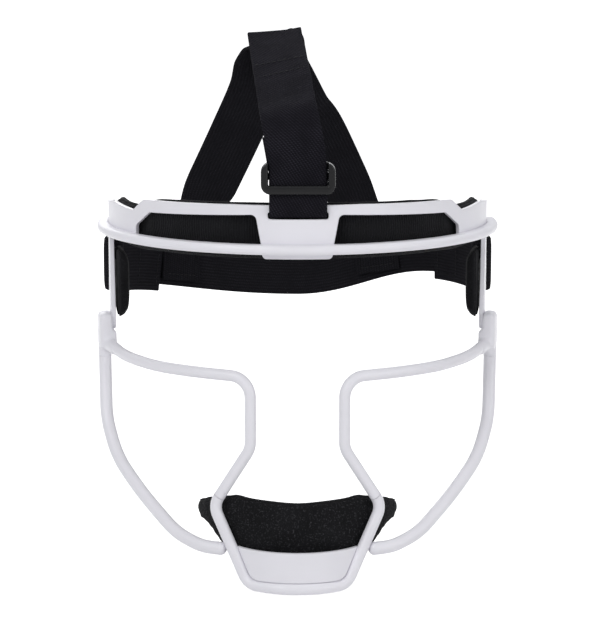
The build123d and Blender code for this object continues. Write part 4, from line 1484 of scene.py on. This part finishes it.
class Pads:
    """The four padded pieces, each a foam core in a sewn cover."""

    shrink = 0.8
    voxel = 2.3 * MM
    fine_voxel = 1.3 * MM
    cap = 1.0 * MM
    window_bulge = 1.3
    pressure = 4.0
    settling = 20
    binding_sizes = (1.1 * MM, 0.55 * MM)
    binding_seam = Seam(2.4 * MM, 0.16 * MM)
    seam_lift = 0.45 * MM

    def __init__(self, finishes: Finishes) -> None:
        """Keeps the materials and works out the pads' sizes."""
        self.finishes = finishes
        self.forms = [self._brow(), self._temple(Side.LEFT), self._temple(Side.RIGHT), self._chin()]

    def _brow(self) -> PadForm:
        """The long pad across the forehead: thinner behind the strap, lower at its sides.

        Returns:
            The pad's form.
        """
        ring, thick, middle, side = 89.2, 8.5, 84.2, 86.0
        half = [
            (0.0, middle - thick, middle, -5.8, 20.2),
            (16.0 / ring, middle - thick, middle, -5.8, 20.2),
            (26.0 / ring, side - thick, side, -5.8, 20.2),
            (78.0 / ring, side - thick, side, -6.0, 18.8),
            (90.0 / ring, side - thick, side, -6.9, 14.4),
            (134.0 / ring, side - thick, side, -6.9, 14.4),
            (140.0 / ring, side - thick + 2.8, side, -4.1, 11.6),
        ]
        windows = (17.5 / ring, 84.0 / ring, 2.0, 14.0)
        return PadForm("brow_pad", both_halves(half), 0.0, 1.6, 0.34, windows)

    def _temple(self, side: Side) -> PadForm:
        """The short pad inside an arm.

        Args:
            side: The side of the wearer.

        Returns:
            The pad's form.
        """
        outer, inner, ring = 86.8, 80.6, 89.2
        bottom, top, front, back = -42.5, -8.2, 25.0, 1.0
        first = math.pi / 2 - math.asin(front / ring)
        last = math.pi / 2 - math.asin(back / ring)
        # Places along the pad, and how far its ends are drawn in there
        shares = ((0.0, 1.0), (0.16, 0.0), (0.5, 0.0), (0.84, 0.0), (1.0, 1.0))
        thin = 1.2
        cuts = []
        for share, drawn in shares:
            turn = side.sign * (first + share * (last - first))
            low, high = bottom + drawn * 2 * thin, top - drawn * thin
            cuts.append((turn, inner + drawn * thin, outer, low, high))
        if side is Side.RIGHT:
            cuts.reverse()
        return PadForm(f"{side.label}_temple_pad", tuple(cuts), 0.0, 0.6, 0.12, bound=False, nose=5.5)

    def _chin(self) -> PadForm:
        """The cup for the chin, with a wing to each side.

        Returns:
            The pad's form.
        """
        shoulder, tip = math.radians(38.0), math.radians(76.0)
        half = [
            (0.0, 40.2, 48.7, -146.5, -113.0),
            (shoulder / 2, 40.2, 48.7, -146.5, -112.3),
            (shoulder, 40.2, 48.7, -142.1, -111.6),
            ((shoulder + tip) / 2, 41.2, 48.7, -130.2, -114.8),
            (tip, 43.0, 48.7, -125.6, -119.4),
        ]
        return PadForm("chin_pad", both_halves(half), 46.0, 1.4, 0.18)

    def build(self) -> None:
        """Builds each pad with its seams and puts it on the cage."""
        for form in self.forms:
            cloth = self.finishes.chin_cloth if form.name == "chin_pad" else self.finishes.pad_cloth
            slot = "chin_cloth" if form.name == "chin_pad" else "pad_cloth"
            pad = grid_mesh(f"{form.name}_cushion", form.surface(self.shrink), cloth)
            self._puff(pad, form)
            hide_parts(f"{form.name}_cover", f"{form.name}_foam")
            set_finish(pad, slot)
            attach(pad, "cage")
            for part in self._seams(pad, form) if form.bound else []:
                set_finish(part, slot)
                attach(part, "cage")

    def _puff(self, pad: bpy.types.Object, form: PadForm) -> None:
        """Swells a pad with the cloth solver, creases its face and rounds it once.

        Args:
            pad: The pad's plain form.
            form: Its sizes.
        """
        bpy.context.view_layer.objects.active = pad
        for item in bpy.context.selected_objects:
            item.select_set(False)
        pad.select_set(True)
        remesh = pad.modifiers.new("voxels", "REMESH")
        remesh.mode = "VOXEL"
        remesh.voxel_size = self.voxel if form.bound else self.fine_voxel
        bpy.ops.object.modifier_apply(modifier=remesh.name)
        rest = positions(pad.data)
        cloth = pad.modifiers.new("swell", "CLOTH")
        cloth.settings.quality = 6
        cloth.settings.use_pressure = True
        cloth.settings.uniform_pressure_force = self.pressure
        cloth.settings.effector_weights.gravity = 0.0
        cloth.settings.tension_stiffness = 22.0
        cloth.settings.bending_stiffness = 0.6
        cloth.collision_settings.use_collision = False
        for frame in range(1, self.settling + 1):
            bpy.context.scene.frame_set(frame)
        bpy.ops.object.modifier_apply(modifier=cloth.name)
        bpy.context.scene.frame_set(1)
        # No point of the skin swells further than the margin that it was drawn in by
        moved = positions(pad.data) - rest
        reach = np.linalg.norm(moved, axis=1, keepdims=True)
        swollen = rest + moved * np.minimum(1.0, self.cap / np.maximum(reach, 1e-9))
        set_positions(pad.data, swollen)
        self._crease(pad, form)
        subdivision = pad.modifiers.new("smooth", "SUBSURF")
        subdivision.levels = 1
        subdivision.render_levels = 1
        bpy.ops.object.modifier_apply(modifier=subdivision.name)
        pad.data.shade_smooth()

    def _crease(self, pad: bpy.types.Object, form: PadForm) -> None:
        """Draws soft upright creases into the cloth, deeper near the middle of the pad.

        The depth is a sum of three waves over the turn round the axis, each with its own
        length, and it fades out towards the ends of the pad.

        Args:
            pad: The swollen pad.
            form: Its sizes.
        """
        places = positions(pad.data)
        x, y = places[:, 0] / MM, places[:, 1] / MM + form.axis_front
        radius = np.hypot(x, y)
        arc = np.arctan2(x, -y) * form.reach
        slow = 0.55 * np.sin(arc / 3.1 + 0.6) + 0.3 * np.sin(arc / 1.7 + places[:, 2] / (9 * MM))
        wave = slow + 0.45 * np.sin(arc / 7.3 + 1.9)
        fade = np.exp(-((arc / (0.75 * form.reach)) ** 2))
        depth = form.creases * wave * fade + self._window_swell(form, arc, radius, places[:, 2] / MM)
        scale = 1.0 + depth / np.maximum(radius, 1.0)
        places[:, 0] = x * scale * MM
        places[:, 1] = (y * scale - form.axis_front) * MM
        set_positions(pad.data, places)

    def _window_swell(
        self, form: PadForm, arc: np.ndarray, radius: np.ndarray, height: np.ndarray
    ) -> np.ndarray:
        """How far the back of a pad swells into the windows of the brow sheet, in millimetres.

        Args:
            form: The pad's sizes.
            arc: The way round the axis at each point.
            radius: The distance from the axis there.
            height: The height there.

        Returns:
            The swell at each point.
        """
        if form.windows is None:
            return np.zeros(len(arc))
        first, last, low, high = form.windows
        turn = np.abs(arc) / form.reach
        along = np.clip((turn - first) / 0.08, 0.0, 1.0) * np.clip((last - turn) / 0.08, 0.0, 1.0)
        up = np.clip((height - low) / 3.5, 0.0, 1.0) * np.clip((high - height) / 3.5, 0.0, 1.0)
        back = np.clip((radius - (form.reach - 3.5)) / 2.0, 0.0, 1.0)
        return self.window_bulge * along * up * back

    def _seams(self, pad: bpy.types.Object, form: PadForm) -> list[bpy.types.Object]:
        """The bound edges of a pad's cover, laid on its swollen surface.

        Args:
            pad: The swollen pad.
            form: Its sizes.

        Returns:
            The bindings and their stitches.
        """
        tree = BVHTree.FromObject(pad, bpy.context.evaluated_depsgraph_get())
        parts = []
        for upper in (True, False):
            line, normals = [], []
            for place in form.edge_line(upper, 0.5)[4:-4]:
                spot, normal, _, _ = tree.find_nearest(Vector(place))
                line.append(spot)
                normals.append(normal)
            line = softened(np.array(line), 4)
            normals = unit(softened(np.array(normals), 8))
            name = f"{form.name}_{'upper' if upper else 'lower'}"
            cloth, thread = self.finishes.binding, self.finishes.thread
            parts.append(tube(f"{name}_binding", line, self.binding_sizes, normals, cloth))
            sewn = line + normals * self.seam_lift
            parts.append(self.binding_seam.build(f"{name}_stitches", [sewn], [normals], thread))
        return parts


def both_halves(half: list[tuple]) -> tuple:
    """The cuts of a pad from those of its left half: the same on the right, mirrored."""
    return tuple([(-cut[0], *cut[1:]) for cut in reversed(half[1:])] + half)


def positions(mesh: bpy.types.Mesh) -> np.ndarray:
    """The places of a mesh's vertices.

    Args:
        mesh: The mesh.

    Returns:
        One row for each vertex.
    """
    places = np.zeros(len(mesh.vertices) * 3)
    mesh.vertices.foreach_get("co", places)
    return places.reshape(-1, 3)


def set_positions(mesh: bpy.types.Mesh, places: np.ndarray) -> None:
    """Moves a mesh's vertices to new places."""
    mesh.vertices.foreach_set("co", places.ravel())
    mesh.update()


class Cage:
    """The coated steel, as the CAD has it."""

    nodes = (
        "brow_plate",
        "brow_bar",
        "left_bracket",
        "right_bracket",
        "left_cheek_bar",
        "right_cheek_bar",
        "chin_bar",
        "left_jaw_bar",
        "right_jaw_bar",
        "chin_plate",
    )

    def __init__(self, frame: dict, finishes: Finishes) -> None:
        """Keeps the frame and the materials."""
        self.frame = frame
        self.finishes = finishes

    def build(self) -> None:
        """Coats the nodes."""
        for name in self.nodes:
            paint(self.frame, name, self.finishes.coat)


def melted(
    mesh: bpy.types.Mesh, name: str, material: bpy.types.Material, voxel: float, rounds: int
) -> bpy.types.Object:
    """Melts the pieces of a mesh into one skin and rounds its edges.

    Args:
        mesh: The mesh.
        name: The new object's name.
        material: Its material.
        voxel: The size of the skin's cells.
        rounds: How often it is smoothed.

    Returns:
        The object.
    """
    part = finish_mesh(mesh, name, material)
    bpy.context.view_layer.objects.active = part
    remesh = part.modifiers.new("voxels", "REMESH")
    remesh.mode = "VOXEL"
    remesh.voxel_size = voxel
    melt = part.modifiers.new("melt", "SMOOTH")
    melt.factor = 0.5
    melt.iterations = rounds
    for modifier in (remesh.name, melt.name):
        bpy.ops.object.modifier_apply(modifier=modifier)
    part.data.shade_smooth()
    return part


class Slider:
    """The plastic slider on the top strap."""

    voxel = 0.26 * MM
    smoothing = 8
    swell = 0.1

    @classmethod
    def build(cls, frame: dict, finishes: Finishes) -> None:
        """Builds the slider with the soft edges of a moulding, and puts it on its body.

        Args:
            frame: The frame, as loaded.
            finishes: The materials.
        """
        mesh = frame["nodes"]["slider"].data.copy()
        mesh.materials.clear()
        slider = melted(mesh, "slider_moulding", finishes.plastic, cls.voxel, cls.smoothing)
        # Smoothing thins the bars, so the skin goes back out a little
        normals = np.array([vertex.normal[:] for vertex in slider.data.vertices])
        set_positions(slider.data, positions(slider.data) + normals * cls.swell * MM)
        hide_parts("slider")
        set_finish(slider, "slider_plastic")
        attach(slider, "slider_body")


class Brackets:
    """The brackets as castings that flow into the bars that leave them."""

    voxel = 0.5 * MM
    smoothing = 30
    ring, front, back = 89.2, 23.0, 10.5
    front_turn = math.pi / 2 - math.asin(front / ring)
    middle_turn = math.pi / 2 - (math.asin(front / ring) + math.asin(back / ring)) / 2
    block_foot = -56.0 * MM
    cheek_ring = 90.2 * MM
    jaw_ring = 92.0 * MM
    cheek_height = -54.0 * MM
    cheek_fall = -1.9 * MM
    cheek_sweep = math.radians(9.0)
    cheek_sizes = (4.0 * MM, 2.63 * MM)
    jaw_top = -47.0 * MM
    jaw_neck = -65.0 * MM
    jaw_end = (90.1 * MM, -19.4 * MM, -72.6 * MM)
    jaw_sizes = (3.5 * MM, 3.03 * MM)

    def __init__(self, frame: dict, finishes: Finishes) -> None:
        """Keeps the frame and the materials."""
        self.frame = frame
        self.finishes = finishes

    def build(self) -> None:
        """Builds both brackets and puts them on the cage."""
        for side in Side:
            casting = self._casting(side)
            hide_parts(f"{side.label}_bracket")
            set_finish(casting, "cage_coat")
            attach(casting, "cage")

    def _casting(self, side: Side) -> bpy.types.Object:
        """The bracket's own block with a flared sleeve on each bar, melted together.

        Args:
            side: The side of the wearer.

        Returns:
            The casting.
        """
        share = np.linspace(0.0, 1.0, 14)
        turn = self.front_turn + math.radians(3.0) - share * self.cheek_sweep
        height = self.cheek_height + self.cheek_fall * share * 0.66
        cheek = np.stack([self.cheek_ring * np.sin(turn), -self.cheek_ring * np.cos(turn), height], axis=1)
        top = (self.jaw_ring * math.sin(self.middle_turn), -self.jaw_ring * math.cos(self.middle_turn))
        jaw = flowing([(*top, self.jaw_top), (*top, self.jaw_neck), self.jaw_end], 1.0 * MM)
        name = f"{side.label}_bracket_casting"
        sleeves = [
            self._sleeve(cheek, self.cheek_sizes, side),
            self._sleeve(jaw, self.jaw_sizes, side),
        ]
        work = bmesh.new()
        work.from_mesh(self.frame["nodes"][f"{side.label}_bracket"].data)
        # The foot of the block is drawn up, so that it flows into the jaw bar
        for vertex in work.verts:
            vertex.co.z = max(vertex.co.z, self.block_foot)
        for sleeve in sleeves:
            work.from_mesh(sleeve.data)
            bpy.data.objects.remove(sleeve)
        mesh = bpy.data.meshes.new(name)
        work.to_mesh(mesh)
        work.free()
        mesh.materials.clear()
        return melted(mesh, name, self.finishes.coat, self.voxel, self.smoothing)

    def _sleeve(self, line: np.ndarray, sizes: tuple[float, float], side: Side) -> bpy.types.Object:
        """A round sleeve along a bar, wide at the bracket and down to the bar's own radius.

        Args:
            line: The middle line of the bar.
            sizes: Its radius at the bracket and at its end.
            side: The side of the wearer.

        Returns:
            The sleeve.
        """
        share = np.linspace(0.0, 1.0, len(line))[:, None, None]
        radius = sizes[1] + (sizes[0] - sizes[1]) * (1 - share) ** 2
        line = line * np.array([side.sign, 1.0, 1.0])
        run = unit(np.gradient(line, axis=0))
        guide = np.array([0.0, 1.0, 0.3]) if abs(run[0][2]) > 0.7 else np.array([0.0, 0.0, 1.0])
        across = unit(np.cross(run, guide))
        up = np.cross(across, run)
        turn = np.linspace(0.0, 2 * math.pi, 24, endpoint=False)[None, :, None]
        ring = np.cos(turn) * across[:, None, :] + np.sin(turn) * up[:, None, :]
        return grid_mesh("sleeve", line[:, None, :] + ring * radius, self.finishes.coat)


def paint(frame: dict, name: str, material: bpy.types.Material) -> None:
    """Puts a material in every slot of a CAD node.

    Args:
        frame: The frame, as loaded.
        name: The node's name.
        material: The material.
    """
    node = frame["nodes"][name]
    if not node.material_slots:
        node.data.materials.append(material)
    for slot in node.material_slots:
        slot.material = material


class HookPatches:
    """The patches of hook tape on the steel and on the strap tabs."""

    nodes = (
        "brow_hooks",
        "left_temple_hooks",
        "right_temple_hooks",
        "chin_hooks",
        "left_tab_hooks",
        "right_tab_hooks",
    )

    @classmethod
    def build(cls, frame: dict, finishes: Finishes) -> None:
        """Gives the nodes their hook tape."""
        for name in cls.nodes:
            paint(frame, name, finishes.hook_tape)


@dataclass(frozen=True)
class Lamp:
    """A soft box.

    Args:
        name: Its name.
        place: Where it stands, in metres.
        size: The side of its square.
        power: Its power in watts.
        colour: The colour of its light.
    """

    name: str
    place: Point
    size: float
    power: float
    colour: tuple[float, float, float] = (1.0, 1.0, 1.0)

    def build(self, aim: Vector) -> None:
        """Adds the lamp and turns it to a point.

        Args:
            aim: The point that it faces.
        """
        data = bpy.data.lights.new(self.name, "AREA")
        data.shape = "SQUARE"
        data.size = self.size
        data.energy = self.power
        data.color = self.colour
        lamp = bpy.data.objects.new(self.name, data)
        lamp.location = self.place
        lamp.rotation_euler = (aim - Vector(self.place)).to_track_quat("-Z", "Y").to_euler()
        bpy.context.scene.collection.objects.link(lamp)


class Studio:
    """The camera, the lamps, the pale world and the floor."""

    elevation = math.radians(9.6)
    target = Vector((0.0, -90.0 * MM, -31.2 * MM))
    distance = 1.1
    focal_pixels = 2503.0
    sensor = 36.0
    image_height = 640
    ambient = 0.32
    floor_glow = 0.8
    floor_gap = 1.0 * MM
    floor_reach = 60.0
    lamp_aim = Vector((0.0, 0.0, -0.03))
    lamps = (
        Lamp("key_lamp", (-0.75, -1.15, 0.95), 0.9, 9.4),
        Lamp("fill_lamp", (1.0, -0.8, 0.35), 0.9, 3.9),
        Lamp("top_lamp", (0.05, 0.05, 1.3), 1.0, 3.7),
        Lamp("back_lamp", (-0.3, 1.2, 0.6), 0.9, 3.5),
    )

    def build(self) -> None:
        """Sets up everything that isn't the object."""
        self._camera()
        self._world()
        self._floor()
        for lamp in self.lamps:
            lamp.build(self.lamp_aim)
        bpy.context.scene.view_settings.view_transform = "Standard"

    def _camera(self) -> None:
        """The photograph's camera, a little above the brow."""
        data = bpy.data.cameras.new("photo_camera")
        data.sensor_fit = "VERTICAL"
        data.sensor_height = self.sensor
        data.lens = self.focal_pixels * self.sensor / self.image_height
        camera = bpy.data.objects.new("photo_camera", data)
        back = Vector((0.0, -math.cos(self.elevation), math.sin(self.elevation)))
        camera.location = self.target + back * self.distance
        camera.rotation_euler = (math.pi / 2 - self.elevation, 0.0, 0.0)
        bpy.context.scene.collection.objects.link(camera)
        bpy.context.scene.camera = camera

    @staticmethod
    def _seen(graph: Graph) -> bpy.types.NodeSocket:
        """A value that is 1 where the camera, a reflection or glass sees the surface.

        Args:
            graph: The tree of the material or world.

        Returns:
            The value.
        """
        path = graph.add("ShaderNodeLightPath")
        mirrored = graph.math("ADD", path.outputs["Is Glossy Ray"], path.outputs["Is Transmission Ray"])
        return graph.math("ADD", path.outputs["Is Camera Ray"], mirrored, clamp=True)

    def _world(self) -> None:
        """Even pale light, white where the camera, a reflection or glass sees it."""
        world = bpy.data.worlds.new("studio_world")
        world.use_nodes = True
        bpy.context.scene.world = world
        graph = Graph(world.node_tree)
        sky = world.node_tree.nodes["Background"]
        strength = graph.math("MULTIPLY_ADD", self._seen(graph), 1.0 - self.ambient, self.ambient)
        graph.feed(sky, {"Color": (0.97, 0.98, 1.0, 1.0), "Strength": strength})

    def _floor(self) -> None:
        """A wide white floor just below the chin bar."""
        low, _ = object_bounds()
        material, graph, shader = new_material("studio_floor")
        graph.feed(shader, {"Base Color": (0.9, 0.9, 0.9, 1.0), "Roughness": 0.9})
        graph.feed(shader, {"Specular IOR Level": 0.1})
        glow = graph.math("MULTIPLY", self._seen(graph), self.floor_glow)
        graph.feed(shader, {"Emission Color": (1.0, 1.0, 1.0, 1.0), "Emission Strength": glow})
        mesh = bpy.data.meshes.new("studio_floor")
        height = low[2] - self.floor_gap
        signs = ((-1, -1), (1, -1), (1, 1), (-1, 1))
        corners = [(x * self.floor_reach, y * self.floor_reach, height) for x, y in signs]
        mesh.from_pydata(corners, [], [(0, 1, 2, 3)])
        mesh.materials.append(material)
        floor = bpy.data.objects.new("studio_floor", mesh)
        bpy.context.scene.collection.objects.link(floor)
        floor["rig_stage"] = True


def main() -> None:
    """Builds the scene."""
    logging.basicConfig(level=logging.INFO)
    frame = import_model()
    finishes = Finishes.build()
    Cage(frame, finishes).build()
    Brackets(frame, finishes).build()
    HookPatches.build(frame, finishes)
    Slider.build(frame, finishes)
    top = TopStrap(finishes)
    for part in top.build():
        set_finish(part, "top_web")
        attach(part, "cage")
    RearStraps(finishes, top).build()
    Pads(finishes).build()
    Studio().build()
    log.info("scene built")


if __name__ == "__main__":
    main()
